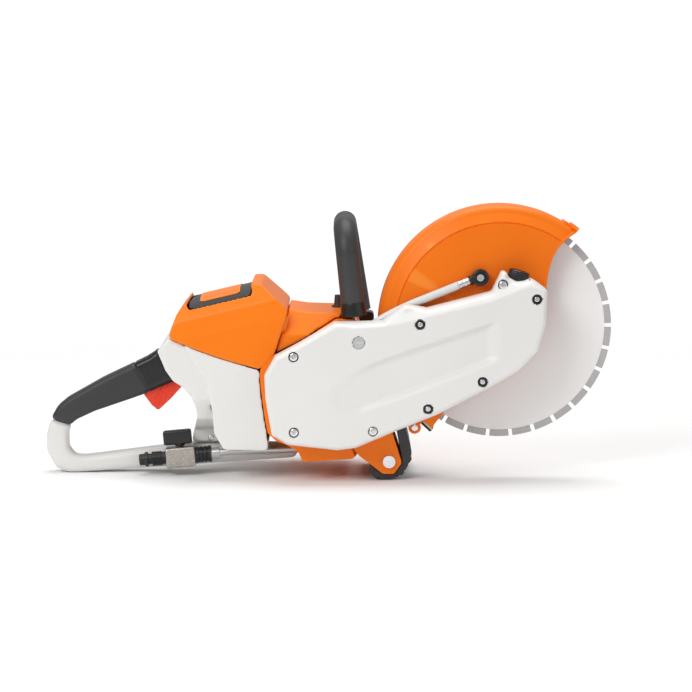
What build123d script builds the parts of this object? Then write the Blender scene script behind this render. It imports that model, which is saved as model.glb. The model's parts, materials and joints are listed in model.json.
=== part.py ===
from build123d import *
import os
from math import asin, atan2, cos, degrees, hypot, radians, sin, tan

# Battery cut-off saw.  Millimetres, +X towards the wheel, +Y to the operator's left, +Z up.
# The origin is on the floor under the middle of the machine.

# ---- driving dimensions -------------------------------------------------------------------
wheel_x, wheel_y, wheel_z = 178.4, -36.0, 155.5     # centre of the cutting wheel
wheel_radius = 115.0
segment_height = 6.8
segment_count = 30
segment_gap = 2.0                                    # degrees between two segments
segment_thickness = 3.0
core_thickness = 2.4
motor_x, motor_z = 2.0, 98.0                         # motor and drive pulley axis
running = 0.05                                       # radial clearance of a shaft in its hole
gap = 0.5                                            # between pieces that move past each other
wall = 2.6                                           # moulded shells

half_width = 71.0                                    # body, each side of the middle
cover_face, cover_edge = -98.0, -70.0                # belt cover, outer face and joint face
pocket_depth = 5.0
plate_face = -60.0                                   # arm casting runs from cover_edge to here
belt_y, belt_width, belt_thickness = -83.0, 9.0, 2.9
drive_radius, driven_radius, pulley_rim = 16.0, 28.0, 4.0

spindle_radius = 7.5
bearing_radius, bearing_width = 16.0, 9.0            # 6002 size, on the spindle
boss_radius, boss_end = 22.0, -46.5
flange_radius = 35.0
bolt_head = 19.0                                     # across the flats of the wheel bolt

shaft_radius = 6.0
motor_bearing_radius, motor_bearing_width = 14.0, 8.0
stator_radius, rotor_radius = 40.0, 24.0
motor_right, motor_left = -44.0, 26.0                # stator stack

lock_angle = 17.0                                    # lock button, from the vertical
lock_y, lock_pin_radius, lock_travel = -74.0, 1.9, 6.0
lock_disc_radius, lock_disc_thickness, lock_slots = 14.5, 4.0, 4
knob_radius, knob_base, knob_top = 10.8, 53.0, 63.0  # distances from the wheel axis

guard_radius, guard_wall = 125.0, 2.2
guard_near, guard_far = -59.2, -12.0
guard_front, guard_rear = 52.0, 236.0                # degrees round the wheel axis

battery_size = (66.0, 120.0, 134.0)                  # fore and aft, across, tall
battery_tilt = 13.0
battery_x, battery_z = -77.4, 53.5                   # middle of its lower face
battery_gap = 1.0
battery_crown = 6.0                                  # rise of its top between the two sides

tube_radius, tube_wall = 10.0, 2.0                   # front handle, steel
sleeve_radius = tube_radius + 2.0
handle_near, handle_far, handle_top = -51.8, half_width + 15.0, 256.0

loop_half = 12.5                                     # rear handle loop, half its width
grip_half = 14.0
trigger_half, trigger_pivot = 7.0, (-156.0, 101.0)
lockout_pivot = (-172.0, 122.5)

valve_x, valve_y, valve_z = -151.5, -26.0, 19.2
pipe_radius, hose_radius = 4.0, 4.25
coupling_radius, coupling_length = 7.7, 28.0
screw_radius, screw_head = 2.5, 4.6

WHEEL = (wheel_x, wheel_z)
MOTOR = (motor_x, motor_z)


# ---- helpers ------------------------------------------------------------------------------
def side_face(points, y, corner):
    """A side outline, its corners rounded where its sides have room, as a face at y."""
    at = [Vector(x, y, z) for x, z in points]
    edges, last = [], None
    for i, point in enumerate(at):
        back, ahead = at[i - 1] - point, at[(i + 1) % len(at)] - point
        half = radians(back.get_angle(ahead)) / 2
        reach = min(corner / tan(half), 0.45 * min(back.length, ahead.length))
        if reach < 0.05:
            start = finish = point
        else:
            start, finish = point + back.normalized() * reach, point + ahead.normalized() * reach
            inward = (back.normalized() + ahead.normalized()).normalized()
            middle = point + inward * (reach / cos(half) - reach * tan(half))
            edges.append(ThreePointArc(start, middle, finish))
        if i:
            edges.append(Line(last, start))
        else:
            first = start
        last = finish
    edges.append(Line(last, first))
    return make_face(edges)


def slab(points, y0, y1, corner=0.0):
    """A side outline from y0 to y1."""
    return extrude(side_face(points, y0, corner), amount=y1 - y0, dir=(0, 1, 0))


def moved_in(points, amount):
    """The outline with each of its sides moved inwards."""
    count = len(points)
    area = sum(points[i - 1][0] * points[i][1] - points[i][0] * points[i - 1][1] for i in range(count))
    side = amount if area > 0 else -amount
    moved = []
    for i, (x, z) in enumerate(points):
        (xa, za), (xb, zb) = points[i - 1], points[(i + 1) % count]
        before, after = hypot(x - xa, z - za), hypot(xb - x, zb - z)
        n0 = ((za - z) / before, (x - xa) / before)
        n1 = ((z - zb) / after, (xb - x) / after)
        share = side / (1 + n0[0] * n1[0] + n0[1] * n1[1])
        moved.append((x + (n0[0] + n1[0]) * share, z + (n0[1] + n1[1]) * share))
    return moved


def inset(points, amount, y0, y1, corner=0.0):
    """The same slab with its outline moved inwards, for a hollow."""
    return slab(moved_in(points, amount), y0, y1, corner)


def bevelled(points, y0, y1, corner, bevel):
    """A slab with its side edges cut back by a bevel."""
    small = moved_in(points, bevel)
    near = loft([side_face(small, y0, corner), side_face(points, y0 + bevel, corner)], ruled=True)
    far = loft([side_face(points, y1 - bevel, corner), side_face(small, y1, corner)], ruled=True)
    return slab(points, y0 + bevel, y1 - bevel, corner) + near + far


def disc(centre, y0, y1, radius):
    """A cylinder along Y."""
    x, z = centre
    return Pos(x, (y0 + y1) / 2, z) * Rot(90, 0, 0) * Cylinder(radius, y1 - y0)


def ring(centre, y0, y1, outer, inner):
    return disc(centre, y0, y1, outer) - disc(centre, y0, y1, inner)


def rod(start, end, radius):
    """A cylinder from one point to another."""
    axis = Vector(*end) - Vector(*start)
    place = Plane(origin=start, z_dir=axis)
    return place * Cylinder(radius, axis.length, align=(Align.CENTER, Align.CENTER, Align.MIN))


def block(x0, x1, y0, y1, z0, z1, corner=0.0):
    """A box between six faces, its edges rounded."""
    box = Pos((x0 + x1) / 2, (y0 + y1) / 2, (z0 + z1) / 2) * Box(x1 - x0, y1 - y0, z1 - z0)
    return fillet(box.edges(), corner) if corner else box


def tube_path(points, radii, radius, inner=0.0):
    """A round tube along straight runs joined by arcs."""
    path = FilletPolyline(*points, radius=radii)
    start = Plane(origin=path @ 0, z_dir=path % 0)
    outer = sweep(start * Circle(radius), path=path)
    return outer - sweep(start * Circle(inner), path=path) if inner else outer


def polar(centre, radius, angle):
    """The point at an angle round a Y axis, counted from +X towards +Z."""
    return (centre[0] + radius * cos(radians(angle)), centre[1] + radius * sin(radians(angle)))


def turned(profile, first, last):
    """A profile of (distance from the wheel axis, y) points, turned round that axis."""
    ray = (cos(radians(last)), 0, sin(radians(last)))
    plane = Plane(origin=(wheel_x, 0, wheel_z), x_dir=ray, z_dir=(-ray[2], 0, ray[0]))
    face = plane * make_face(Polyline(*profile, close=True).edges())
    return revolve(face, Axis((wheel_x, 0, wheel_z), (0, 1, 0)), last - first)


def bearing(centre, y0, width, outer, inner, balls):
    """A ball bearing as two races and its balls."""
    race = (outer - inner) * 0.28
    middle, ball = (outer + inner) / 2, (outer - inner) * 0.24
    pieces = [ring(centre, y0, y0 + width, outer, outer - race),
              ring(centre, y0, y0 + width, inner + race, inner)]
    for i in range(balls):
        x, z = polar(centre, middle, 360 / balls * i)
        pieces.append(Pos(x, y0 + width / 2, z) * Sphere(ball))
    return pieces


def screw(centre, y_head, y_tip, head=screw_head, shank=screw_radius):
    """A cylinder-head screw with a six-lobe socket, its head towards -Y."""
    socket = disc(centre, y_head, y_head + 1.6, head * 0.42)
    for i in range(6):
        socket += disc(polar(centre, head * 0.42, 60 * i), y_head, y_head + 1.6, head * 0.12)
    return disc(centre, y_head, y_head + 3, head) + disc(centre, y_head + 3, y_tip, shank) - socket


def hull_of_circles(r1, r2, y0, y1):
    """The belt's outline: two circles and the straight runs between them."""
    dx, dz = wheel_x - motor_x, wheel_z - motor_z
    line, spread = degrees(atan2(dz, dx)), degrees(asin((r2 - r1) / hypot(dx, dz)))
    up, down = line + 90 + spread, line - 90 - spread
    corners = [polar(MOTOR, r1, up), polar(WHEEL, r2, up), polar(WHEEL, r2, down), polar(MOTOR, r1, down)]
    return slab(corners, y0, y1) + disc(MOTOR, y0, y1, r1) + disc(WHEEL, y0, y1, r2)


def battery_block(x0, x1, y0, y1, z0, z1, corner=0.0):
    """A block in the battery's own frame, whose origin is the middle of its lower face."""
    return Pos(battery_x, 0, battery_z) * Rot(0, -battery_tilt, 0) * block(x0, x1, y0, y1, z0, z1, corner)


def lock_plane(distance):
    """The plane across the lock button's axis, at a distance from the wheel axis."""
    x, z = polar(WHEEL, distance, 90 - lock_angle)
    axis = (sin(radians(lock_angle)), 0, cos(radians(lock_angle)))
    return Plane(origin=(x, lock_y, z), z_dir=axis)


def lock_cylinder(r0, r1, radius):
    return lock_plane(r0) * Cylinder(radius, r1 - r0, align=(Align.CENTER, Align.CENTER, Align.MIN))


def cross_section(points, x0, x1):
    """A mirrored (y, z) outline along X."""
    both = [(x0, y, z) for y, z in points] + [(x0, -y, z) for y, z in reversed(points)]
    return extrude(make_face(Polyline(*both, close=True).edges()), amount=x1 - x0, dir=(1, 0, 0))


nodes = {}


def keep(name, *solids):
    """One node, from one solid or a group of separate ones."""
    pieces = [s for shape in solids for s in (shape.solids() if not isinstance(shape, list) else shape)]
    nodes[name] = pieces[0] if len(pieces) == 1 else Compound(children=pieces)


# ---- side outlines ------------------------------------------------------------------------
cover_outline = [(9, 167), (-28, 143), (-51, 131), (-62, 112), (-61, 88), (-55, 51), (-39, 41.5),
                 (11, 35.7), (30, 38), (68, 54), (113, 72), (165, 99), (194, 115.5), (214, 136),
                 (222, 164), (223.3, 197), (206, 212), (178, 216), (168, 195), (103, 178.5),
                 (80, 182.5), (57, 167.5)]
cover_corners = 6.0
pocket_outline = [(0, 98), (24, 118.5), (44, 127), (176, 169), (178.5, 126), (105, 95.5),
                  (32, 70.5), (4, 77)]
plate_outline = [(22, 140), (-24, 134), (-46, 126), (-57, 108), (-56, 88), (-51, 55), (-36, 46),
                 (11, 40.2), (28, 42.5), (66, 58), (111, 76.5), (163, 103.5), (190, 119.5), (209, 139),
                 (217, 165), (218.5, 194), (204, 206), (181, 208), (170, 189), (94, 169.5), (75, 160),
                 (50, 149)]
housing_outline = [(-50, 129.5), (-64, 113), (-64.5, 103), (-62, 78), (-57, 51), (-46, 40), (-29, 31),
                   (-24, 19.4), (30, 22.8), (38, 40), (45.5, 70), (46, 104), (40, 135), (31, 166), (10, 165)]
flange_outline = [(-50, 130.3), (-61.8, 119.6), (-66.2, 112), (-66.5, 103), (-64.7, 83), (-61.7, 62),
                  (-59.3, 50), (-51.5, 41.7), (-39.6, 36.8), (-29, 30.5), (-24, 19.4), (30, 22.8), (24, 41),
                  (0, 90)]
deck_outline = [(-51, 132), (-37.4, 175.2), (-20, 172.2), (32, 170), (32, 167), (10, 166), (-28, 143)]
hood_outline = [(-160.5, 148), (-157, 158), (-152, 171), (-142, 183.5), (-74, 202), (-66, 202),
                (-38, 175.3), (-52, 132), (-67, 115.5), (-91, 122), (-112, 128.6), (-134, 136.7)]
panel_outline = [(-147, 143), (-120, 98), (-116, 70), (-114.5, 50), (-105, 33), (-59, 31.5), (-60.6, 49.5),
                 (-62.9, 62), (-65.8, 83), (-67.6, 103), (-67.4, 112.5), (-69, 115.1), (-91, 121.5),
                 (-112, 128.1), (-134, 136.2)]
neck_outline = [(-160.5, 147), (-172, 134), (-164, 114), (-156, 102.5), (-146, 96), (-138, 86), (-133.5, 74),
                (-133, 64), (-139, 44), (-141, 32), (-105, 32), (-100, 100), (-100, 124), (-134, 136.2)]
grip_outline = [(-288.4, 57.4), (-281, 70), (-271, 78.2), (-234, 98.9), (-185, 122),
                (-174.5, 130), (-165.5, 113.5), (-158, 102.5), (-152.5, 97), (-166, 92.6), (-192, 81.6),
                (-242, 64.7), (-261, 56), (-267.6, 50.4)]
trigger_outline = [(-190.9, 81.4), (-183, 70.3), (-177, 65.1), (-174.8, 65.8), (-162, 77.7), (-148, 93.2),
                   (-151, 103), (-160, 105), (-178, 97), (-190, 90)]
trigger_space = [(-197.5, 77), (-200, 92), (-186, 103), (-164, 110), (-148, 109), (-144, 90), (-166, 84)]
loop_outer = [(-288.5, 57), (-293.4, 40), (-293.4, 22), (-284, 5), (-272, 0), (-257, 0), (-31, 14.4)]
loop_inner = [(-31, 29), (-140, 30.5), (-175, 26.5), (-254, 17), (-264, 18), (-270.5, 26), (-270.5, 42),
              (-267.5, 50)]
bracket_outline = [(24, 36), (34, 25), (58, 6.4), (69, 6.4), (77.3, 18), (66.5, 53.5)]
cheek_outline = [(200, 183), (224.6, 187.4), (225.6, 206), (230.6, 225.5), (235.6, 235.6), (245.7, 246.2),
                 (254, 252), (246, 246)]
skid_outline = [(44, 14.5), (46.5, 3), (54, 0), (65, 0), (78, 5), (87.5, 21), (87, 32), (80, 58),
                (71.2, 55), (77.6, 18), (69.1, 6.2), (57.9, 6.2), (46.5, 15.6)]

spindle_end = belt_y - belt_width / 2 - 2.2
flange_back, flange_front = wheel_y - core_thickness / 2, wheel_y + core_thickness / 2
tower_top = 45.0
knob_space = lock_cylinder(tower_top, knob_top + 12, knob_radius + 0.4)

# ---- belt cover, its screws and the arm casting -------------------------------------------
cover_screw_places = [(-32.3, 131.4), (-32.4, 54.6), (47.4, 55.4), (95.3, 163.5), (212.5, 188.4),
                      (158.1, 105.1), (103.1, 77.8), (178.6, 202.7)]
plug_place, plug_radius = (33.4, 145.7), 6.0
boss = screw_head + 0.4

cover = slab(cover_outline, cover_face, cover_edge, cover_corners)
cover = chamfer(cover.faces().sort_by(Axis.Y)[0].edges(), 4.0)
cover -= inset(cover_outline, wall, cover_face + wall + 2.0, cover_edge, cover_corners)
pocket_floor = slab(pocket_outline, cover_face, cover_face + pocket_depth, 8.0)
cover += slab(pocket_outline, cover_face + pocket_depth - 0.5, cover_face + pocket_depth + wall, 8.0)
cover -= chamfer(pocket_floor.faces().sort_by(Axis.Y)[-1].edges(), 4.0)
for place in cover_screw_places:
    cover += disc(place, cover_face + 3, cover_edge, boss)
cover = cover & slab(cover_outline, cover_face, cover_edge, cover_corners)
for place in cover_screw_places:
    cover -= disc(place, cover_face, cover_face + 4, boss)
    cover -= disc(place, cover_face, cover_edge, screw_radius)
    cover += ring(place, cover_face + 4, cover_edge, boss, screw_radius) - knob_space
cover -= disc(plug_place, cover_face - 1, cover_face + 12, plug_radius)
cover -= knob_space
keep("belt_cover", cover)
plug = disc(plug_place, cover_face + 0.3, cover_face + 9, plug_radius)
keep("cover_plug", plug - block(plug_place[0] - 4, plug_place[0] + 4, cover_face, cover_face + 1.7,
                                plug_place[1] - 0.8, plug_place[1] + 0.8))

arm = slab(plate_outline, cover_edge, plate_face, 4.0)
arm += disc(WHEEL, plate_face, boss_end, boss_radius)
arm += lock_cylinder(34, tower_top, 7.0) & block(150, 230, cover_edge - 12, plate_face, 180, 220)
arm -= disc(WHEEL, cover_edge - 1, boss_end, bearing_radius)
arm -= disc(MOTOR, cover_edge, plate_face, motor_bearing_radius)
arm -= lock_cylinder(30, 60, lock_pin_radius + running)
arm -= knob_space
for place in cover_screw_places:
    arm -= disc(place, cover_edge, plate_face, screw_radius)
keep("arm_casting", arm)

# ---- spindle, wheel and drive -------------------------------------------------------------
inner_bearing_y, outer_bearing_y = boss_end - bearing_width - 0.5, cover_edge + 0.5
keep("spindle_bearings",
     *bearing(WHEEL, inner_bearing_y, bearing_width, bearing_radius, spindle_radius + running, 9),
     *bearing(WHEEL, outer_bearing_y, bearing_width, bearing_radius, spindle_radius + running, 9))
spindle = disc(WHEEL, spindle_end, flange_back - 6, spindle_radius)
spindle += disc(WHEEL, boss_end + gap, flange_back - 6, 12.0)
keep("spindle", spindle + disc(WHEEL, flange_back - 6, flange_front + 1, 9.5)
     - disc(WHEEL, wheel_y - 14, flange_front + 1, 4.0))
disc_y = lock_y - lock_disc_thickness / 2
locking = ring(WHEEL, belt_y, disc_y + lock_disc_thickness, lock_disc_radius, spindle_radius)
for i in range(lock_slots):
    x, z = polar(WHEEL, lock_disc_radius, 90 - lock_angle + 360 / lock_slots * i)
    slot_box = Box(2 * (lock_disc_radius - 10), lock_disc_thickness + 0.8, 2 * lock_pin_radius + 0.7)
    locking -= Pos(x, lock_y, z) * Rot(0, lock_angle - 90 - 360 / lock_slots * i, 0) * slot_box


def pulley(centre, radius, bore):
    """A flat pulley with a rim each side of the belt."""
    edge = belt_width / 2 + 0.3
    body = ring(centre, belt_y - edge - 1.2, belt_y + edge + 1.2, radius + pulley_rim, bore)
    return body - ring(centre, belt_y - edge, belt_y + edge, radius + pulley_rim + 1, radius)


keep("driven_pulley", pulley(WHEEL, driven_radius, spindle_radius) + locking)
keep("drive_pulley", pulley(MOTOR, drive_radius, shaft_radius))
belt_near, belt_far = belt_y - belt_width / 2, belt_y + belt_width / 2
keep("drive_belt", hull_of_circles(drive_radius + 0.1 + belt_thickness, driven_radius + 0.1 + belt_thickness,
                                   belt_near, belt_far)
     - hull_of_circles(drive_radius + 0.1, driven_radius + 0.1, belt_near, belt_far))

inner_flange = ring(WHEEL, flange_back - 6, flange_back, flange_radius, 9.5)
keep("inner_flange", inner_flange - ring(WHEEL, flange_back - 1.2, flange_back, flange_radius - 9, 9.5))
keep("outer_flange", chamfer(ring(WHEEL, flange_front, flange_front + 5, flange_radius, 9.5)
                             .edges().filter_by(GeomType.CIRCLE).sort_by(Axis.Y)[-1], 0.8)
     - ring(WHEEL, flange_front, flange_front + 1.2, flange_radius - 9, 9.5))
bolt_y = flange_front + 5
washer = disc(WHEEL, bolt_y, bolt_y + 2, 13.0) + disc(WHEEL, wheel_y - 13, bolt_y, 4.0)
hexagon = Plane(origin=(wheel_x, bolt_y + 2, wheel_z), z_dir=(0, 1, 0)) * RegularPolygon(
    bolt_head / 2, 6, major_radius=False)
keep("flange_bolt", washer + extrude(hexagon, amount=7.5, dir=(0, 1, 0)))
core_radius = wheel_radius - segment_height
keep("wheel_core", ring(WHEEL, flange_back, flange_front, core_radius, 9.5))
pitch = 360 / segment_count
half_thick = segment_thickness / 2
segment_profile = [(core_radius, wheel_y - half_thick), (wheel_radius, wheel_y - half_thick),
                   (wheel_radius, wheel_y + half_thick), (core_radius, wheel_y + half_thick)]
half_gap = segment_gap / 2
keep("diamond_segments", *[turned(segment_profile, pitch * i + half_gap, pitch * (i + 1) - half_gap)
                           for i in range(segment_count)])

knob = fillet(lock_cylinder(knob_base, knob_top, knob_radius).edges(), 1.5)
knob -= lock_cylinder(knob_base, knob_top - 3, 6.0)
keep("lock_button", knob + lock_cylinder(lock_disc_radius + 2, knob_top - 3, lock_pin_radius))
spring_rings, spring_pitch, spring_start = 7, 1.9, tower_top + 0.2
coil_starts = [spring_start + spring_pitch * i for i in range(spring_rings)]
keep("lock_spring", *[lock_cylinder(r, r + 1.0, 4.6) - lock_cylinder(r, r + 1.0, 3.4) for r in coil_starts])

# ---- motor --------------------------------------------------------------------------------
stator = ring(MOTOR, motor_right, motor_left, stator_radius, stator_radius - 6)
teeth, tooth_arc = 12, 13.0
for i in range(teeth):
    tip = polar(MOTOR, (stator_radius + rotor_radius) / 2 - 1.5, 360 / teeth * i)
    tooth = Box(stator_radius - rotor_radius - 4, motor_left - motor_right, 5.0)
    stator += Pos(tip[0], (motor_left + motor_right) / 2, tip[1]) * Rot(0, -360 / teeth * i, 0) * tooth
keep("motor_stator", stator)
coils = []
for i in range(teeth):
    at = polar(MOTOR, (stator_radius + rotor_radius) / 2 - 1.5, 360 / teeth * i)
    coil = Box(6.0, motor_left - motor_right + 8, 10.0) - Box(8.0, motor_left - motor_right, 5.0)
    coils.append(Pos(at[0], (motor_left + motor_right) / 2, at[1]) * Rot(0, -360 / teeth * i, 0) * coil)
keep("stator_windings", *coils)
keep("rotor_core", ring(MOTOR, motor_right + 2, motor_left - 2, rotor_radius - 1.5, shaft_radius))
far_bearing_y = half_width - 9 - wall - motor_bearing_width
keep("motor_shaft", disc(MOTOR, spindle_end, far_bearing_y + motor_bearing_width, shaft_radius))
keep("motor_bearings",
     *bearing(MOTOR, plate_face - motor_bearing_width, motor_bearing_width, motor_bearing_radius,
              shaft_radius + running, 8),
     *bearing(MOTOR, far_bearing_y, motor_bearing_width, motor_bearing_radius, shaft_radius + running, 8))
fan_y, fan_blades = motor_left + 8, 9
fan = ring(MOTOR, fan_y, fan_y + 9, 12, shaft_radius) + ring(MOTOR, fan_y, fan_y + 2, 36, 12)
for i in range(fan_blades):
    at = polar(MOTOR, 23, 360 / fan_blades * i)
    fan += Pos(at[0], fan_y + 5.5, at[1]) * Rot(0, -360 / fan_blades * i - 25, 0) * Box(24, 7, 1.6)
keep("cooling_fan", fan & disc(MOTOR, fan_y, fan_y + 9, 36))

# ---- body shells --------------------------------------------------------------------------
housing_far = half_width - 9
bay_front = battery_size[0] / 2 + battery_gap
bay_side_y = battery_size[1] / 2 + battery_gap
well = battery_block(-bay_front, bay_front, -bay_side_y, bay_side_y, -9, 200, 4.0)
housing_solid = slab(housing_outline, plate_face, housing_far, 4.0)
housing = housing_solid - inset(housing_outline, wall, plate_face + wall, housing_far - wall, 2.0)
housing += housing_solid & battery_block(bay_front - 9, bay_front + wall, plate_face, housing_far, -9, 200)
plate_space = slab(moved_in(plate_outline, -0.3), cover_edge, plate_face, 4.0)
housing += slab(flange_outline, cover_edge, plate_face, 3.0) - plate_space
housing -= disc(MOTOR, plate_face, plate_face + wall, stator_radius)
housing += ring(MOTOR, far_bearing_y, housing_far - wall, motor_bearing_radius + 3, motor_bearing_radius)
keep("motor_housing", housing - well)

body = [(half_width, -40), (half_width, 104), (half_width - 4, 124), (half_width - 10, 133.5),
        (half_width - 14, 140), (half_width - 30, 156.6)]
inner_body = [(y - wall * 1.3, z - wall * 0.6) for y, z in body]
x_rear, x_front = -180.0, 60.0
battery_place = Pos(battery_x, 0, battery_z) * Rot(0, -battery_tilt, 0)
hood = slab(hood_outline, -80, 80, 6.0) & battery_place * cross_section(body, -120, 120)
hood -= inset(hood_outline, wall, -80, 80, 4.0) & battery_place * cross_section(inner_body, -120, 120)
hood -= slab([(-170, 100), (-170, 142), (-151, 142), (-56, 113), (-40, 128), (-40, 80)], -64, 64)
keep("battery_hood", hood - well)

deck_section = [(66, 100), (66, 150), (40, 180)]
deck = slab(deck_outline, -66, 66, 0.8) & cross_section(deck_section, x_rear, x_front)
deck_hollow = [(-43, 143), (-34, 171), (-20, 169), (26, 167.2), (10, 167), (-28, 144)]
keep("front_deck", deck - slab(deck_hollow, -48, 48))

neck_section = [(loop_half, 20), (loop_half, 46), (50, 62), (62, 84), (66, 150)]
inner_neck = [(y - wall, z + wall) for y, z in neck_section]
rear = slab(panel_outline, -half_width, half_width, 5.0)
rear += slab(neck_outline, -80, 80, 3.0) & cross_section(neck_section, x_rear, x_front)
hollow = inset(panel_outline, wall, -half_width + wall, half_width - wall, 2.0)
hollow += inset(neck_outline, wall, -80, 80, 1.0) & cross_section(inner_neck, x_rear, x_front)
upper = slab([(-152, 150), (-142, 134), (-110, 119), (-72, 108), (-72, 60), (-50, 60), (-50, 160)], -64, 64)
bay_side = slab([(-82, 37), (-50, 37), (-50, 125), (-82, 125)], -half_width + wall, half_width - wall)
rear -= hollow + upper + bay_side
trigger_cut = slab(trigger_space, -trigger_half - gap, trigger_half + gap)
keep("rear_housing", rear - trigger_cut - well)

left_y = housing_far
left_outline = [(-49, 128), (-62, 112), (-63, 100), (-60, 78), (-55, 52), (-44, 41), (28, 36), (43, 70),
                (44, 104), (38, 135), (29, 160), (8, 163)]
left = slab(left_outline, left_y, half_width + 3, 8.0)
left = chamfer(left.faces().sort_by(Axis.Y)[-1].edges(), 3.0)
left -= inset(left_outline, wall, left_y, half_width + 3 - wall, 5.0)
vents, vent_pitch, vent_height = 7, 9.0, 4.0
for i in range(vents):
    sill = motor_z - 27 + vent_pitch * i
    left -= block(motor_x - 30, motor_x + 22, half_width - 2, half_width + 4, sill, sill + vent_height)
keep("left_cover", left)
side_screw_places = [(-40, 52), (-54, 100), (24, 46), (6, 150)]
screws = []
for x, z in side_screw_places:
    turned_round = Pos(x, 0, z) * Rot(0, 0, 180) * Pos(-x, 0, -z)
    screws.append(turned_round * screw((x, z), -half_width - 5, -left_y - 1))
screws += [screw(p, cover_face + 1, plate_face - 1) for p in cover_screw_places]
keep("cover_screws", *screws)
left_holes = [disc(p, left_y, half_width + 6, screw_radius) for p in side_screw_places]
left_seats = [disc(p, half_width, half_width + 6, screw_head) for p in side_screw_places]

# ---- battery and its bay ------------------------------------------------------------------
bx, by, bz = battery_size[0] / 2, battery_size[1] / 2, battery_size[2]
top_height = 22.0
case = battery_block(-bx, bx, -by, by, 0, bz - top_height, 4.0)
keep("battery_case", case - battery_block(-22, 22, -36, 36, -1, 6))
latch_space = battery_block(-bx - 1, -bx + 7, -22, 22, bz - 15, bz + 9)
crown_radius = (by ** 2 + battery_crown ** 2) / (2 * battery_crown)
crown_place = battery_place * Pos(0, 0, bz + battery_crown - crown_radius) * Rot(0, 90, 0)
crown = crown_place * Cylinder(crown_radius, 2 * bx)
top = battery_block(-bx, bx, -by, by, bz - top_height, bz + battery_crown + 3, 7.0) & crown
keep("battery_top", top - latch_space)
keep("battery_latch", battery_block(-bx + 0.6, -bx + 6.6, -21.5, 21.5, bz - 11, bz + 4.0, 1.0))
tray = battery_block(-bx + 7, bx - 4, -by + 6, by - 6, -8.5, -6) + battery_block(-18, 18, -32, 32, -6, -1)
for y in (-24, -12, 12, 24):
    tray += battery_block(-12, 12, y - 1, y + 1, -1.0, 4.5)
keep("battery_terminal_tray", tray)
ejector = Cylinder(5, 5.6) - Cylinder(3.6, 5.6)
keep("ejector_springs", *[battery_place * Pos(-19, y, -6 + 5.6 / 2) * ejector for y in (-46, 46)])
keep("controller_box", block(-20, 26, -12, 50, 27, 50, 3.0))

# ---- rear handle --------------------------------------------------------------------------
keep("loop_handle", bevelled(loop_outer + loop_inner, -loop_half, loop_half, 6.0, 4.0))
grip = bevelled(grip_outline, -grip_half, grip_half, 3.0, 3.5) - trigger_cut
lockout_space = slab([(-193, 117), (-190, 124), (-168, 134), (-166, 117), (-186, 110)], -6.5, 6.5)
pin_half = grip_half - 2
pins = disc(trigger_pivot, -pin_half, pin_half, 2.0) + disc(lockout_pivot, -pin_half, pin_half, 1.5)
keep("rear_grip", grip - lockout_space - pins)
nodes["rear_housing"] = nodes["rear_housing"] - pins
trigger = slab(trigger_outline, -trigger_half, trigger_half, 0.8)
trigger -= disc(trigger_pivot, -trigger_half, trigger_half, 2.0 + running)
trigger -= disc(trigger_pivot, -1.3, 1.3, 4.0)
keep("trigger", trigger)
keep("trigger_spring", ring(trigger_pivot, -1, 1, 3.6, 2.6))
lockout = slab([(-190.5, 118.2), (-186, 122.2), (-174, 129.5), (-169.5, 127), (-169.5, 119), (-175, 118)],
               -6.0, 6.0, 1.0)
keep("lockout_lever", lockout - disc(lockout_pivot, -6, 6, 1.5 + running))
keep("grip_pins", pins)
keep("switch", block(-152, -140, -8, 8, 112, 130, 1.0))

# ---- front handle -------------------------------------------------------------------------
near_foot, near_bend = Vector(28.9, handle_near, 168), Vector(20.3, handle_near, handle_top)
far_foot, far_bend = Vector(37.4, handle_far, 148), Vector(20.3, handle_far, handle_top)
sleeve_start = near_foot + (near_bend - near_foot) * 0.16
sleeve_end = far_foot + (far_bend - far_foot) * 0.105
bend_radius = 26.0
keep("handlebar_tube", tube_path([near_foot, near_bend, far_bend, far_foot], bend_radius,
                                 tube_radius, tube_radius - tube_wall))
keep("handlebar_sleeve", tube_path([sleeve_start, near_bend, far_bend, sleeve_end], bend_radius,
                                   sleeve_radius, tube_radius))
boot_place = Plane(origin=near_foot, z_dir=sleeve_start - near_foot)
boot_height = (sleeve_start - near_foot).length
standing = (Align.CENTER, Align.CENTER, Align.MIN)
boot = boot_place * Cone(13.5, sleeve_radius + 0.4, boot_height, align=standing)
boot_space = boot_place * Cylinder(14.0, 60)
lug_end = handle_far + sleeve_radius
lug_seat = lug_end - 5.5                              # under the heads of its bolts
lug_outline = [(22, 124), (40, 120), (50, 132), (51, 158), (24, 158)]
lug = slab(lug_outline, half_width + 3, lug_end, 4.0)
lug -= rod(far_foot, sleeve_end, tube_radius)
lug_bolt_places = [(29, 131), (41, 131)]
for place in lug_bolt_places:
    lug -= disc(place, half_width, lug_end, 3.0) + disc(place, lug_seat, lug_end, 5.0)
keep("handlebar_mounts", boot - boot_place * Cylinder(tube_radius, 60), lug)
frame_bolts = [disc(p, housing_far - 5, lug_seat, 3.0) + disc(p, lug_seat, lug_seat + 3.5, 5.0)
               for p in lug_bolt_places]
foot_bolt = rod((29.9, handle_near, 158), (29.2, handle_near, 176), 3.0)
frame_bolts.append(foot_bolt + rod((29.9, handle_near, 156), (29.8, handle_near, 160), 5.5))
peg_x, peg_y, peg_z = 12.4, 8.0, 171.2
peg = Cone(4.4, 3.3, 12.5, align=standing) + Cylinder(6.5, 1.6, align=standing)
keep("top_bumper", Pos(peg_x, peg_y, peg_z) * peg)

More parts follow.
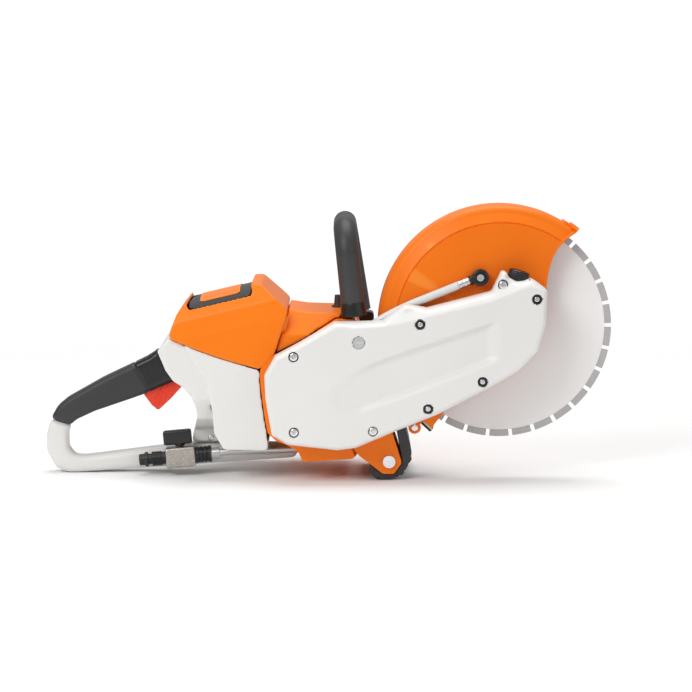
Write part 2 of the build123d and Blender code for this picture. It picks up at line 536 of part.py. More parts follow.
# ---- front foot ---------------------------------------------------------------------------
foot_near, foot_far, plate_thick = -68.0, 40.0, 4.0
bolt_place = (64.1, 19.6)
channel_outline = [(40, 20.8), (58, 6.4), (69, 6.4), (77.3, 18), (66.5, 53.5), (44, 46)]
bracket = slab(bracket_outline, foot_near, foot_near + plate_thick, 4.0)
bracket += slab(channel_outline, foot_near + plate_thick, foot_far, 2.0)
channel_space = [(43, 22.3), (58.8, 9.6), (68, 9.6), (74, 18.5), (64, 60), (48, 60)]
bracket -= slab(channel_space, foot_near + plate_thick, foot_far - 3)
bracket -= disc(bolt_place, foot_near, foot_far, 4.0)
keep("foot_bracket", bracket)
bracket_bolt = disc(bolt_place, foot_near - 3, foot_far + 1, 4.0)
bracket_bolt += disc(bolt_place, foot_near - 3, foot_near, 6.4)
keep("frame_bolts", bracket_bolt, *frame_bolts)
keep("skid", slab(skid_outline, foot_near + plate_thick + 0.5, foot_far, 0.8))

# ---- guard --------------------------------------------------------------------------------
bevel_in, bevel_out = 109.5, 118.0
near_inner = guard_near + guard_wall
split_y = guard_far - guard_wall
shell_profile = [(24, guard_near), (bevel_in, guard_near), (bevel_out, guard_near + 3.4),
                 (guard_radius, guard_near + 11), (guard_radius, split_y),
                 (guard_radius - guard_wall, split_y), (guard_radius - guard_wall, guard_near + 12),
                 (bevel_out - 1.2, near_inner + 3.2), (bevel_in - 0.6, near_inner), (24, near_inner)]
guard = turned(shell_profile, guard_front, guard_rear)
guard += disc(WHEEL, guard_near, plate_face + 9, 30.0)
guard += slab([(86, 58), (90, 46), (97, 45), (112, 56), (106, 70)], guard_near, guard_near + 4, 1.5)
lip_profile = [(guard_radius - 1, guard_near + 12), (guard_radius + 4, guard_near + 10),
               (guard_radius + 4, split_y), (guard_radius - 1, split_y)]
guard += turned(lip_profile, guard_front, guard_front + 2.5)
bead_profile = [(50, guard_near - 0.3), (112, guard_near - 0.3), (112, guard_near + 1), (50, guard_near + 1)]
guard += turned(bead_profile, guard_front, guard_front + 2.5)
guard += slab(cheek_outline, guard_near, near_inner)
guard_screw_angles = [62, 102, 142, 182, 226]
for angle in guard_screw_angles:
    guard += disc(polar(WHEEL, guard_radius - 5.5, angle), split_y - 10, split_y, 4.2)
guard = guard - disc(WHEEL, guard_near - 1, plate_face + 10, boss_radius + running)
banjo_place, banjo_radius, banjo_y = (157.3, 207.8), 8.6, -64.2
guard -= disc(banjo_place, guard_near - 1, near_inner + 1, 3.6)
for angle in guard_screw_angles:
    guard -= disc(polar(WHEEL, guard_radius - 5.5, angle), split_y - 9, split_y, 1.8)
keep("guard_shell", guard)
far_profile = [(62, split_y), (guard_radius, split_y), (guard_radius, guard_far), (62, guard_far)]
far_side = turned(far_profile, guard_front, guard_rear)
for angle in guard_screw_angles:
    far_side -= disc(polar(WHEEL, guard_radius - 5.5, angle), split_y, guard_far, 1.8)
keep("guard_far_side", far_side)
keep("guard_screws", *[disc(p, split_y - 8, guard_far, 1.8) + disc(p, guard_far, guard_far + 2, 3.6)
                       for p in [polar(WHEEL, guard_radius - 5.5, a) for a in guard_screw_angles]])
seal_profile = [(guard_radius, guard_near + 14), (guard_radius + 4, guard_near + 14),
                (guard_radius + 4, split_y), (guard_radius, split_y)]
keep("guard_rubber_strip", turned(seal_profile, guard_rear - 5, guard_rear + 1))

# ---- water line ---------------------------------------------------------------------------
ferrule_end, hump = (135.0, 199.9), (84.0, 179.6)
hose_run = (ferrule_end[0] - hump[0], ferrule_end[1] - hump[1])


def at_hose(point, further=0.0):
    """A point of the hose's last run, in space, moved on along that run."""
    share = further / hypot(*hose_run)
    return (point[0] + hose_run[0] * share, banjo_y, point[1] + hose_run[1] * share)


banjo = disc(banjo_place, banjo_y - 3.4, banjo_y + 3.4, banjo_radius)
banjo += rod(at_hose(ferrule_end, 12.3), at_hose(ferrule_end, 19), 4.3)
keep("banjo_fitting", banjo - disc(banjo_place, banjo_y - 4, banjo_y + 4, 3.6))
keep("banjo_bolt", disc(banjo_place, banjo_y - 4.4, near_inner + 3, 3.6)
     + disc(banjo_place, near_inner, near_inner + 3, 6.0))
keep("hose_ferrule", rod(at_hose(ferrule_end, 0.1), at_hose(ferrule_end, 12.2), 4.5))
hose_points = [(-16, valve_y, 27), (8, valve_y - 4, 30), (25, -53, 58), (25, -53, 140), (44, -61, 157),
               (62, banjo_y, 168.5), at_hose(hump), at_hose(ferrule_end)]
hose_bends = [18, 20, 15, 20, 30, 60]
keep("water_hose", tube_path(hose_points, hose_bends, hose_radius))

valve_tilt = 5.0
VALVE = Plane(Pos(valve_x, valve_y, valve_z) * Rot(0, -valve_tilt, 0))
ball_radius, bore_radius = 7.0, 3.5


def along_flow(x0, x1, radius):
    """A cylinder along the water's way through the valve, in the valve's own frame."""
    return Pos((x0 + x1) / 2, 0, 0) * Rot(0, 90, 0) * Cylinder(radius, x1 - x0)


body_half, body_side = 15.5, 10.5
shape = block(-body_half, body_half, -body_side, body_side, -body_side, body_side, 2.0)
shape -= along_flow(-body_half, body_half, bore_radius) + Sphere(ball_radius + 0.2)
shape -= Pos(0, 0, body_side / 2) * Cylinder(2.0 + running, body_side + 2)
keep("valve_body", VALVE * shape)
ball = Sphere(ball_radius) + Pos(0, 0, 9) * Cylinder(2.0, 10) - along_flow(-10, 10, bore_radius)
keep("valve_ball", VALVE * ball)
lever = block(-16.5, 13.0, -5.5, 5.5, body_side + 2.5, body_side + 17.5, 2.0)
lever += Pos(0, 0, body_side + 1.8) * Cylinder(5.0, 2.6)
keep("valve_lever", VALVE * (lever - Pos(0, 0, body_side) * Cylinder(2.0, 7)))
nose_radius, nose_length = 6.0, 6.0
front = -body_half - coupling_length
steps = [(0, nose_length, nose_radius), (6, 9.5, coupling_radius), (9.5, 13.5, 5.6),
         (13.5, 23.5, coupling_radius), (23.5, coupling_length, 6.5)]
coupling = Part() + [along_flow(front + start, front + end, radius) for start, end, radius in steps]
collar_end, ferrule_tip = body_half + 16.5, body_half + 25
keep("hose_coupling", VALVE * (coupling - along_flow(front, -body_half, bore_radius)),
     VALVE * (along_flow(body_half, collar_end, 8.5) - along_flow(body_half, collar_end, bore_radius)))
ferrule = along_flow(collar_end, ferrule_tip, 6.0) - along_flow(collar_end, ferrule_tip, bore_radius)
pipe_start = VALVE.from_local_coords(Vector(ferrule_tip, 0, 0))
pipe_points = [tuple(pipe_start), (-100, valve_y, 24.3), (-17, valve_y, 26.8)]
keep("water_pipe", tube_path(pipe_points, 20.0, pipe_radius, pipe_radius - 1.0) + VALVE * ferrule)

# ---- openings that later pieces pass through ----------------------------------------------
nodes["front_deck"] = nodes["front_deck"] - boot_space
nodes["left_cover"] = nodes["left_cover"] - left_holes - left_seats
for place in lug_bolt_places:
    nodes["left_cover"] = nodes["left_cover"] - disc(place, housing_far, half_width + 4, 3.0)
    nodes["motor_housing"] = nodes["motor_housing"] - disc(place, housing_far - 10, housing_far, 3.0)
for place in side_screw_places:
    nodes["motor_housing"] = nodes["motor_housing"] - disc(place, housing_far - 8, housing_far, screw_radius)
nodes["motor_housing"] = nodes["motor_housing"] - tube_path(pipe_points, 20.0, pipe_radius)
nodes["motor_housing"] = nodes["motor_housing"] - tube_path(hose_points, hose_bends, hose_radius)
nodes["motor_housing"] = nodes["motor_housing"] - rod((29.9, handle_near, 156), (29.2, handle_near, 176), 3.0)
nodes["motor_housing"] = nodes["motor_housing"] - rod((30.1, handle_near, 150), (29.7, handle_near, 161), 5.6)

os.makedirs("parts", exist_ok=True)
for name, shape in nodes.items():
    export_step(shape, f"parts/{name}.step")
print(len(nodes), "nodes")
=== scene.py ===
import json
import math
import bpy
import numpy as np
from mathutils import Matrix, Vector


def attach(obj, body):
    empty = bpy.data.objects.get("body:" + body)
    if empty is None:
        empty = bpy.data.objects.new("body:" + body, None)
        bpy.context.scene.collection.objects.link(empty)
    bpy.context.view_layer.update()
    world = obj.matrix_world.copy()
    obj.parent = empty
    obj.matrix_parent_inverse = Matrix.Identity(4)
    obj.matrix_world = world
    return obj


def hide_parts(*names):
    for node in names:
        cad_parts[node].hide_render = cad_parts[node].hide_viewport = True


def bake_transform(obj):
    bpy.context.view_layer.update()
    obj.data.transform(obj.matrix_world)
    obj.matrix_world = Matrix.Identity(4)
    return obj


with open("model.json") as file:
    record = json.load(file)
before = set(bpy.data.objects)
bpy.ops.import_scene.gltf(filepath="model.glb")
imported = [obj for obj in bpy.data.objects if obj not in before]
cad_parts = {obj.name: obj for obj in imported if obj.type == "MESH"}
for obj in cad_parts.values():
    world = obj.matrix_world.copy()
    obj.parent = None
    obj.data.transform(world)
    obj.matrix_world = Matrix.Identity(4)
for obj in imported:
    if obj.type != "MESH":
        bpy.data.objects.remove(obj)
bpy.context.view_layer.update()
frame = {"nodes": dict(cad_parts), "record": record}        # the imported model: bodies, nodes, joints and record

mm = 0.001
weldReach = 0.00001      # metres, within which a node's loose triangles are one point
nodes = frame["nodes"]
print("frame loaded:", len(nodes), "nodes")


# small tools used on every piece

def toLinear(code):
    # an sRGB hex colour as linear light
    levels = [int(code[i:i + 2], 16) / 255 for i in (1, 3, 5)]
    return tuple(c / 12.92 if c <= 0.04045 else ((c + 0.055) / 1.055) ** 2.4 for c in levels) + (1.0,)


def addNode(tree, kind, settings, links=()):
    # settings go to inputs of that name, or else to the node itself; links are (input, output) pairs
    node = tree.nodes.new(kind)
    for name, value in settings.items():
        if name in node.inputs:
            node.inputs[name].default_value = value
        else:
            setattr(node, name, value)
    for name, output in links:
        tree.links.new(output, node.inputs[name])
    return node


def only(piece):
    # makes one piece the selected and active one
    if bpy.context.mode != "OBJECT":
        bpy.ops.object.mode_set(mode="OBJECT")
    bpy.ops.object.select_all(action="DESELECT")
    piece.select_set(True)
    bpy.context.view_layer.objects.active = piece


def started(name):
    # names the primitive that was just added
    piece = bpy.context.object
    piece.name = piece.data.name = name
    return piece


def opened(piece):
    # opens a piece in edit mode with all of it selected
    only(piece)
    bpy.ops.object.mode_set(mode="EDIT")
    bpy.ops.mesh.select_all(action="SELECT")


def closedUp():
    # turns every face of the open piece outwards and leaves edit mode
    bpy.ops.mesh.select_all(action="SELECT")
    bpy.ops.mesh.normals_make_consistent(inside=False)
    bpy.ops.object.mode_set(mode="OBJECT")


def applied(piece, kind, **settings):
    # adds a modifier with its settings and applies it
    only(piece)
    modifier = piece.modifiers.new(kind, kind)
    for name, value in settings.items():
        setattr(modifier, name, value)
    bpy.ops.object.modifier_apply(modifier=modifier.name)


def joined(name, pieces):
    # several objects become one piece
    only(pieces[0])
    for piece in pieces[1:]:
        piece.select_set(True)
    if len(pieces) > 1:
        bpy.ops.object.join()
    piece = bpy.context.object
    piece.name = piece.data.name = name
    bpy.ops.object.transform_apply(location=True, rotation=True, scale=True)
    return piece


def cut(piece, cutter, operation="DIFFERENCE"):
    # cuts one piece with another, or adds it on, and clears the cutter away
    applied(piece, "BOOLEAN", operation=operation, object=cutter, solver="EXACT")
    bpy.data.objects.remove(cutter, do_unlink=True)


def softened(piece, angle=35):
    # smooth shading that leaves edges over the angle sharp
    only(piece)
    bpy.ops.object.shade_smooth_by_angle(angle=math.radians(angle))


def settled(piece, body, slot, finish, *stoodFor):
    # gives a finished piece its finish, the body it rides on, and the nodes it stands for
    piece.data.materials.clear()
    piece.data.materials.append(finish)
    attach(piece, body)
    if stoodFor:
        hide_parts(*stoodFor)


def copied(name, *sources):
    # a merged copy of CAD nodes, to be reworked
    pieces = []
    for source in sources:
        piece = bpy.data.objects.new(name, nodes[source].data.copy())
        bpy.context.scene.collection.objects.link(piece)
        piece.data.materials.clear()
        pieces.append(piece)
    piece = joined(name, pieces)
    opened(piece)
    bpy.ops.mesh.remove_doubles(threshold=weldReach)
    bpy.ops.object.mode_set(mode="OBJECT")
    return piece


def moulded(piece, grain, rounds):
    # melts hard corners to the small radius that a mould or a casting leaves
    applied(piece, "REMESH", mode="VOXEL", voxel_size=grain * mm, use_smooth_shade=True)
    applied(piece, "SMOOTH", factor=0.5, iterations=rounds)
    only(piece)
    bpy.ops.object.shade_smooth()
    return piece


def readPoints(piece):
    # a mesh's points in millimetres
    points = np.zeros(len(piece.data.vertices) * 3)
    piece.data.vertices.foreach_get("co", points)
    return points.reshape(-1, 3) / mm


def writePoints(piece, points):
    piece.data.vertices.foreach_set("co", (points * mm).ravel())
    piece.data.update()


def eased(value):
    # 0 to 1 with a soft start and end
    value = np.clip(value, 0, 1)
    return value * value * (3 - 2 * value)


def cornersRounded(points, corner, steps=6):
    # an outline with its corners turned into arcs where its sides have room
    rounded = []
    for i, (x, z) in enumerate(points):
        back = Vector(points[i - 1]) - Vector((x, z))
        ahead = Vector(points[(i + 1) % len(points)]) - Vector((x, z))
        half = back.angle(ahead) / 2
        reach = min(corner / math.tan(half), 0.45 * min(back.length, ahead.length))
        start, end = Vector((x, z)) + back.normalized() * reach, Vector((x, z)) + ahead.normalized() * reach
        for k in range(steps + 1):
            t = k / steps
            rounded.append(tuple((1 - t) ** 2 * start + 2 * t * (1 - t) * Vector((x, z)) + t * t * end))
    return rounded


def distanceTo(points, outline, closed=True):
    # the distance of (x, z) points to an outline, and the nearest place on it
    best, nearest = np.full(len(points), 1e9), np.zeros_like(points)
    ring = np.array(outline, float)
    for i in range(0 if closed else 1, len(ring)):
        a, b = ring[i - 1], ring[i]
        t = np.clip(((points - a) @ (b - a)) / max(1e-9, (b - a) @ (b - a)), 0, 1)
        place = a + t[:, None] * (b - a)
        away = np.hypot(*(points - place).T)
        closer = away < best
        best[closer], nearest[closer] = away[closer], place[closer]
    return best, nearest


def insideOf(points, outline):
    # which (x, z) points lie inside an outline
    ring, inside = np.array(outline, float), np.zeros(len(points), bool)
    for (xa, za), (xb, zb) in zip(ring, np.roll(ring, 1, axis=0)):
        across = (za > points[:, 1]) != (zb > points[:, 1])
        with np.errstate(divide="ignore", invalid="ignore"):
            inside ^= across & (points[:, 0] < (xb - xa) * (points[:, 1] - za) / (zb - za) + xa)
    return inside


# finishes: what each real surface is made of

finishes = {}


def surface(name, look):
    # one procedural material from a dictionary of its look; sizes are in millimetres
    material = bpy.data.materials.new(name)
    material.use_nodes = True
    tree = material.node_tree
    tree.nodes.clear()
    place = addNode(tree, "ShaderNodeTexCoord", {})
    stretch = look.get("stretch", (1, 1, 1))
    laid = addNode(tree, "ShaderNodeMapping", {"Scale": stretch}, [("Vector", place.outputs["Object"])])
    cloud = addNode(tree, "ShaderNodeTexNoise", {"Scale": 1 / (look["cloud"] * mm), "Detail": 3.0},
                    [("Vector", place.outputs["Object"])])
    grain = addNode(tree, "ShaderNodeTexNoise", {"Scale": 1 / (look["grain"] * mm), "Detail": 2.0},
                    [("Vector", laid.outputs["Vector"])])
    tint = addNode(tree, "ShaderNodeMix", {"data_type": "RGBA"}, [("Factor", cloud.outputs["Fac"])])
    tint.inputs["A"].default_value = toLinear(look["colour"])
    tint.inputs["B"].default_value = toLinear(look["other"])
    gloss = addNode(tree, "ShaderNodeMapRange", {"From Min": 0.3, "From Max": 0.7,
                                                 "To Min": look["rough"][0], "To Max": look["rough"][1]},
                    [("Value", grain.outputs["Fac"])])
    bump = addNode(tree, "ShaderNodeBump", {"Strength": look["relief"], "Distance": look["depth"] * mm},
                   [("Height", grain.outputs["Fac"])])
    colour = tint.outputs["Result"]
    if "speck" in look:
        # grit, oxide or granules that stand out of the base colour
        speck = addNode(tree, "ShaderNodeTexVoronoi", {"Scale": 1 / (look["speck"] * mm)},
                        [("Vector", place.outputs["Object"])])
        share = addNode(tree, "ShaderNodeMapRange", {"From Min": 0.15, "From Max": 0.45,
                                                     "To Min": look["speckShare"], "To Max": 0.0},
                        [("Value", speck.outputs["Distance"])])
        spotted = addNode(tree, "ShaderNodeMix", {"data_type": "RGBA"},
                          [("Factor", share.outputs["Result"]), ("A", colour)])
        spotted.inputs["B"].default_value = toLinear(look["speckColour"])
        colour = spotted.outputs["Result"]
    if "edgeHighlight" in look:
        # painted highlight: edges that stand out, found by pointiness, are drawn paler as if they caught the
        # light
        bend = addNode(tree, "ShaderNodeNewGeometry", {})
        edge = addNode(tree, "ShaderNodeMapRange", {"From Min": 0.52, "From Max": 0.62, "To Min": 0.0,
                                                    "To Max": look["edgeHighlightShare"]},
                       [("Value", bend.outputs["Pointiness"])])
        highlitEdges = addNode(tree, "ShaderNodeMix", {"data_type": "RGBA"},
                         [("Factor", edge.outputs["Result"]), ("A", colour)])
        highlitEdges.inputs["B"].default_value = toLinear(look["edgeHighlight"])
        colour = highlitEdges.outputs["Result"]
    shader = addNode(tree, "ShaderNodeBsdfPrincipled", {"Metallic": look.get("metal", 0.0)},
                     [("Base Color", colour), ("Roughness", gloss.outputs["Result"]),
                      ("Normal", bump.outputs["Normal"])])
    for socket, value in look.get("set", {}).items():
        shader.inputs[socket].default_value = value
    addNode(tree, "ShaderNodeOutputMaterial", {}, [("Surface", shader.outputs["BSDF"])])
    finishes[name] = material
    return material


# the paler edge colour and its share in each look below are a painted highlight on raised edges
# glass-filled nylon moulded smooth: bright white with a soft wide gloss
surface("whiteMouldedNylon", {"colour": "#E6E5E3", "other": "#DFDEDB", "cloud": 90, "grain": 1.4,
                              "relief": 0.05, "depth": 0.2, "rough": (0.33, 0.42), "edgeHighlight": "#FBFBFA",
                              "edgeHighlightShare": 0.5, "set": {"IOR": 1.5, "Subsurface Weight": 0.0}})
# the same nylon in orange: saturated, with a satin gloss that shows as soft bands
surface("orangeMouldedNylon", {"colour": "#F98110", "other": "#F5780C", "cloud": 70, "grain": 1.4,
                               "relief": 0.05, "depth": 0.2, "rough": (0.28, 0.38), "edgeHighlight": "#FFA04A",
                               "edgeHighlightShare": 0.6, "set": {"IOR": 1.5, "Specular IOR Level": 0.22}})
# magnesium die casting under orange powder coat: slight orange peel
surface("orangePowderCoat", {"colour": "#F67C10", "other": "#F1700A", "cloud": 60, "grain": 1.1,
                             "relief": 0.10, "depth": 0.25, "rough": (0.30, 0.42), "edgeHighlight": "#FF9A40",
                             "edgeHighlightShare": 0.5, "set": {"IOR": 1.5, "Specular IOR Level": 0.22}})
# white powder coat on the tubular loop
surface("whitePowderCoat", {"colour": "#E3E2DF", "other": "#D9D8D5", "cloud": 50, "grain": 1.2,
                            "relief": 0.08, "depth": 0.2, "rough": (0.32, 0.45), "edgeHighlight": "#F8F8F6",
                            "edgeHighlightShare": 0.4, "set": {"IOR": 1.5}})
# soft thermoplastic rubber over the grips: charcoal, matt, fine spark-eroded grain
surface("charcoalGripRubber", {"colour": "#343436", "other": "#2B2B2D", "cloud": 40, "grain": 1.0,
                               "relief": 0.25, "depth": 0.25, "rough": (0.42, 0.58), "edgeHighlight": "#4A4A4C",
                               "edgeHighlightShare": 0.5, "set": {"IOR": 1.5, "Specular IOR Level": 0.5}})
# black nylon parts: darker and glossier than the grips
surface("blackNylon", {"colour": "#151516", "other": "#101011", "cloud": 40, "grain": 0.9, "relief": 0.12,
                       "depth": 0.2, "rough": (0.25, 0.4), "edgeHighlight": "#2C2C2E", "edgeHighlightShare": 0.6,
                       "set": {"IOR": 1.5}})
# the trigger and the latch: red-orange nylon, smooth
surface("redNylon", {"colour": "#EE3A16", "other": "#E53311", "cloud": 30, "grain": 1.0, "relief": 0.05,
                     "depth": 0.2, "rough": (0.25, 0.36), "edgeHighlight": "#FF7040", "edgeHighlightShare": 0.7,
                     "set": {"IOR": 1.5}})
# dark red-brown nylon of the lock button's crown
surface("brownNylon", {"colour": "#3A1510", "other": "#301009", "cloud": 20, "grain": 0.9, "relief": 0.08,
                       "depth": 0.2, "rough": (0.22, 0.34), "set": {"IOR": 1.5}})
# ground and turned steel: fine rings and a cool grey
surface("turnedSteel", {"colour": "#A9A9AC", "other": "#9B9B9F", "cloud": 25, "grain": 0.8, "relief": 0.10,
                        "depth": 0.1, "rough": (0.24, 0.38), "metal": 1.0, "stretch": (1, 6, 1)})
# bright zinc plate on screws and bolts
surface("zincPlate", {"colour": "#E6E6E8", "other": "#D6D7DB", "cloud": 8, "grain": 0.7, "relief": 0.10,
                      "depth": 0.08, "rough": (0.18, 0.32), "metal": 1.0})
# painted wheel core: pale warm grey, eggshell, with faint grinding marks
surface("paintedWheelCore", {"colour": "#F1EFEE", "other": "#EBE9E8", "cloud": 120, "grain": 1.2,
                             "relief": 0.05, "depth": 0.1, "rough": (0.45, 0.6), "set": {"IOR": 1.5}})
# sintered diamond segments: matt metal bond full of grit
surface("sinteredBond", {"colour": "#BDBBBB", "other": "#B1AFAF", "cloud": 10, "grain": 1.0, "relief": 0.5,
                         "depth": 0.3, "rough": (0.55, 0.75), "metal": 0.3, "speck": 1.2, "speckShare": 0.55,
                         "speckColour": "#C9C7C6"})
# aluminium straight from the die: dull, slightly mottled
surface("rawCasting", {"colour": "#A6A7A9", "other": "#97989B", "cloud": 12, "grain": 1.0, "relief": 0.35,
                       "depth": 0.2, "rough": (0.38, 0.55), "metal": 1.0})
# enamelled copper wire in the windings
surface("copperWire", {"colour": "#B8622E", "other": "#A04F22", "cloud": 6, "grain": 0.8, "relief": 0.6,
                       "depth": 0.3, "rough": (0.25, 0.4), "metal": 1.0, "stretch": (1, 0.15, 1)})
# nickel plate over rough forged brass on the water valve
surface("nickelledBrass", {"colour": "#B9B3AC", "other": "#A39B92", "cloud": 6, "grain": 1.3, "relief": 0.6,
                           "depth": 0.35, "rough": (0.28, 0.5), "metal": 1.0, "speck": 2.2,
                           "speckShare": 0.5, "speckColour": "#E2DED9"})
# plated steel water pipe: paler and smoother than the valve
surface("platedPipe", {"colour": "#C9C9C8", "other": "#BFBFC0", "cloud": 15, "grain": 0.9, "relief": 0.06,
                       "depth": 0.1, "rough": (0.25, 0.35), "metal": 0.85})
# wool felt behind the guard's seal: cream, dull, fibrous
surface("creamFelt", {"colour": "#DCD3B8", "other": "#C8BE9F", "cloud": 6, "grain": 0.8, "relief": 0.6,
                      "depth": 0.3, "rough": (0.8, 0.95), "set": {"IOR": 1.45, "Specular IOR Level": 0.2}})
# neoprene drive belt
surface("beltRubber", {"colour": "#1A1A1A", "other": "#121212", "cloud": 15, "grain": 1.0, "relief": 0.4,
                       "depth": 0.3, "rough": (0.6, 0.8), "set": {"IOR": 1.5}})
# milky flexible hose
surface("milkyHose", {"colour": "#E4E5E3", "other": "#D6D8D6", "cloud": 14, "grain": 1.0, "relief": 0.08,
                      "depth": 0.15, "rough": (0.22, 0.32),
                      "set": {"IOR": 1.45, "Subsurface Weight": 0.25,
                              "Subsurface Radius": (0.004, 0.004, 0.004)}})
# studio floor: a sheet of pale matt vinyl that runs out into the white wall behind
surface("paleFloor", {"colour": "#FBFBFB", "other": "#F9F9F8", "cloud": 400, "grain": 6, "relief": 0.02,
                      "depth": 0.1, "rough": (0.7, 0.8), "set": {"IOR": 1.45, "Specular IOR Level": 0.1}})
floorFade = {"from": 0.5, "to": 1.5}      # metres from the middle, where the sheet thins out to nothing
floorTree = finishes["paleFloor"].node_tree
floorPlace = addNode(floorTree, "ShaderNodeTexCoord", {})
fromMiddle = addNode(floorTree, "ShaderNodeVectorMath", {"operation": "LENGTH"},
                     [("Vector", floorPlace.outputs["Object"])])
runOut = addNode(floorTree, "ShaderNodeMapRange", {"From Min": floorFade["from"],
                                                   "From Max": floorFade["to"]},
                 [("Value", fromMiddle.outputs["Value"])])
clear = addNode(floorTree, "ShaderNodeBsdfTransparent", {})
floorEnd = next(n for n in floorTree.nodes if n.bl_idname == "ShaderNodeOutputMaterial")
floorMix = addNode(floorTree, "ShaderNodeMixShader", {},
                   [("Fac", runOut.outputs["Result"]), (1, floorEnd.inputs["Surface"].links[0].from_socket),
                    (2, clear.outputs["BSDF"])])
floorTree.links.new(floorMix.outputs["Shader"], floorEnd.inputs["Surface"])
print("finishes made:", len(finishes))

nodeFinish = {"white_shell": "whiteMouldedNylon", "orange_shell": "orangeMouldedNylon",
              "orange_casting": "orangePowderCoat", "white_tube": "whitePowderCoat",
              "black_grip": "charcoalGripRubber", "black_plastic": "blackNylon", "red_plastic": "redNylon",
              "steel": "turnedSteel", "zinc_steel": "zincPlate", "wheel_steel": "paintedWheelCore",
              "segment_bond": "sinteredBond", "cast_aluminium": "rawCasting", "copper_winding": "copperWire",
              "nickel_brass": "nickelledBrass", "belt_rubber": "beltRubber", "hose_clear": "milkyHose"}
for part in frame["record"]["subparts"]:
    material = finishes[nodeFinish[part["material_slot"]]]
    holder = nodes[part["node"]]
    if holder.material_slots:
        for place in holder.material_slots:
            place.material = material
    else:
        holder.data.materials.append(material)

# floor, light and camera

stage = {"floorSize": 3.4, "floorDrop": 0.0004, "worldStrength": 0.45, "wallStrength": 1.05}
lights = {"keyLight": {"place": (-1.1, -1.6, 1.5), "aim": (0, 0, 0.12), "size": 1.1, "power": 23.0},
          "fillLight": {"place": (1.6, -1.5, 0.7), "aim": (0.05, 0, 0.1), "size": 1.4, "power": 3.5},
          "topLight": {"place": (0.1, 0.3, 2.0), "aim": (0.05, 0, 0.1), "size": 1.5, "power": 26.0}}
view = {"aim": (0.0206, 0.0, 0.1306), "distance": 2.5, "elevation": 7.0, "roll": -0.29, "lens": 124.4,
        "sensor": 36.0, "near": 0.05, "far": 60.0}

bpy.ops.mesh.primitive_plane_add(size=stage["floorSize"], location=(0, 0, -stage["floorDrop"]))
floor = started("studio_floor")
floor.data.materials.append(finishes["paleFloor"])

world = bpy.data.worlds.new("paleStudio")
world.use_nodes = True
background = world.node_tree.nodes["Background"]
background.inputs["Color"].default_value = (1, 1, 1, 1)
# behind the machine the studio wall stands fully white
seen = addNode(world.node_tree, "ShaderNodeLightPath", {})
bright = addNode(world.node_tree, "ShaderNodeMapRange",
                 {"To Min": stage["worldStrength"], "To Max": stage["wallStrength"]},
                 [("Value", seen.outputs["Is Camera Ray"])])
world.node_tree.links.new(bright.outputs["Result"], background.inputs["Strength"])
bpy.context.scene.world = world

for name, light in lights.items():
    facing = (Vector(light["aim"]) - Vector(light["place"])).to_track_quat("-Z", "Y").to_euler()
    bpy.ops.object.light_add(type="AREA", location=light["place"], rotation=facing)
    lamp = bpy.context.object
    lamp.name = name
    lamp.data.shape = "SQUARE"
    lamp.data.size = light["size"]
    lamp.data.energy = light["power"]

lift = math.radians(view["elevation"])
eye = Vector(view["aim"]) + Vector((0, -math.cos(lift), math.sin(lift))) * view["distance"]
facing = (Vector(view["aim"]) - eye).to_track_quat("-Z", "Y").to_matrix().to_4x4()
turned = facing @ Matrix.Rotation(math.radians(view["roll"]), 4, "Z")
bpy.ops.object.camera_add(location=eye, rotation=turned.to_euler())
camera = bpy.context.object
camera.data.lens, camera.data.sensor_width = view["lens"], view["sensor"]
camera.data.clip_start, camera.data.clip_end = view["near"], view["far"]
bpy.context.scene.camera = camera
bpy.context.scene.view_settings.view_transform = "Standard"
print("stage set")

# belt cover: a shallow moulded tray whose face is worked as a relief

cover = {"cell": 1.15, "face": -98.0, "joint": -70.0, "rim": 5.0, "wall": 2.2, "corner": 5.0,
         "pocketDepth": 5.5, "pocketStart": -10, "pocketRun": 90, "pocketLeast": 0.25,
         "ridgeSlope": 0.75, "ridgeDrop": 7.0, "crown": 1.0, "crownMiddle": 80, "crownReach": 145,
         "seatRadius": 5.1, "deepSeat": 3.6, "flushSeat": 1.2, "plugRadius": 6.6, "plugSeat": 1.0}
coverOutline = [(9, 164.5), (-28, 143), (-51, 131), (-62, 112), (-61, 88), (-55, 51), (-39, 41.5),
                (11, 35.7), (30, 38), (68, 54), (113, 72), (165, 99), (194, 115.5), (214, 136), (222, 164),
                (223.3, 197), (213, 205), (207, 208.5), (200, 206.3), (192.5, 205.6), (185, 209.5),
                (182.5, 215), (178, 216), (168, 195), (103, 178.5), (80, 182.5), (57, 165.2)]
ridgeLine = [(4, 172), (12, 165.5), (25, 158.8), (68.4, 162.8), (120, 174.8), (163.1, 184.7), (178, 190.5),
             (203, 200.5), (224, 196)]
# the sunk panel: each side's line and how wide its sloping wall is
pocketCorners = [(-4, 98), (24, 119), (44, 127), (176.5, 169.5), (179, 126), (105, 95.5), (32, 70.5),
                 (4, 76)]
pocketWalls = [16, 9, 5.5, 17, 11, 11, 10, 16]
deepSeats = [(95.3, 163.5), (212.5, 188.4), (158.1, 105.1), (103.1, 77.8)]
flushSeats = [(-32.3, 131.4), (-32.4, 54.6), (47.4, 55.4), (178.6, 202.7)]
plugSeat = (33.4, 145.7)

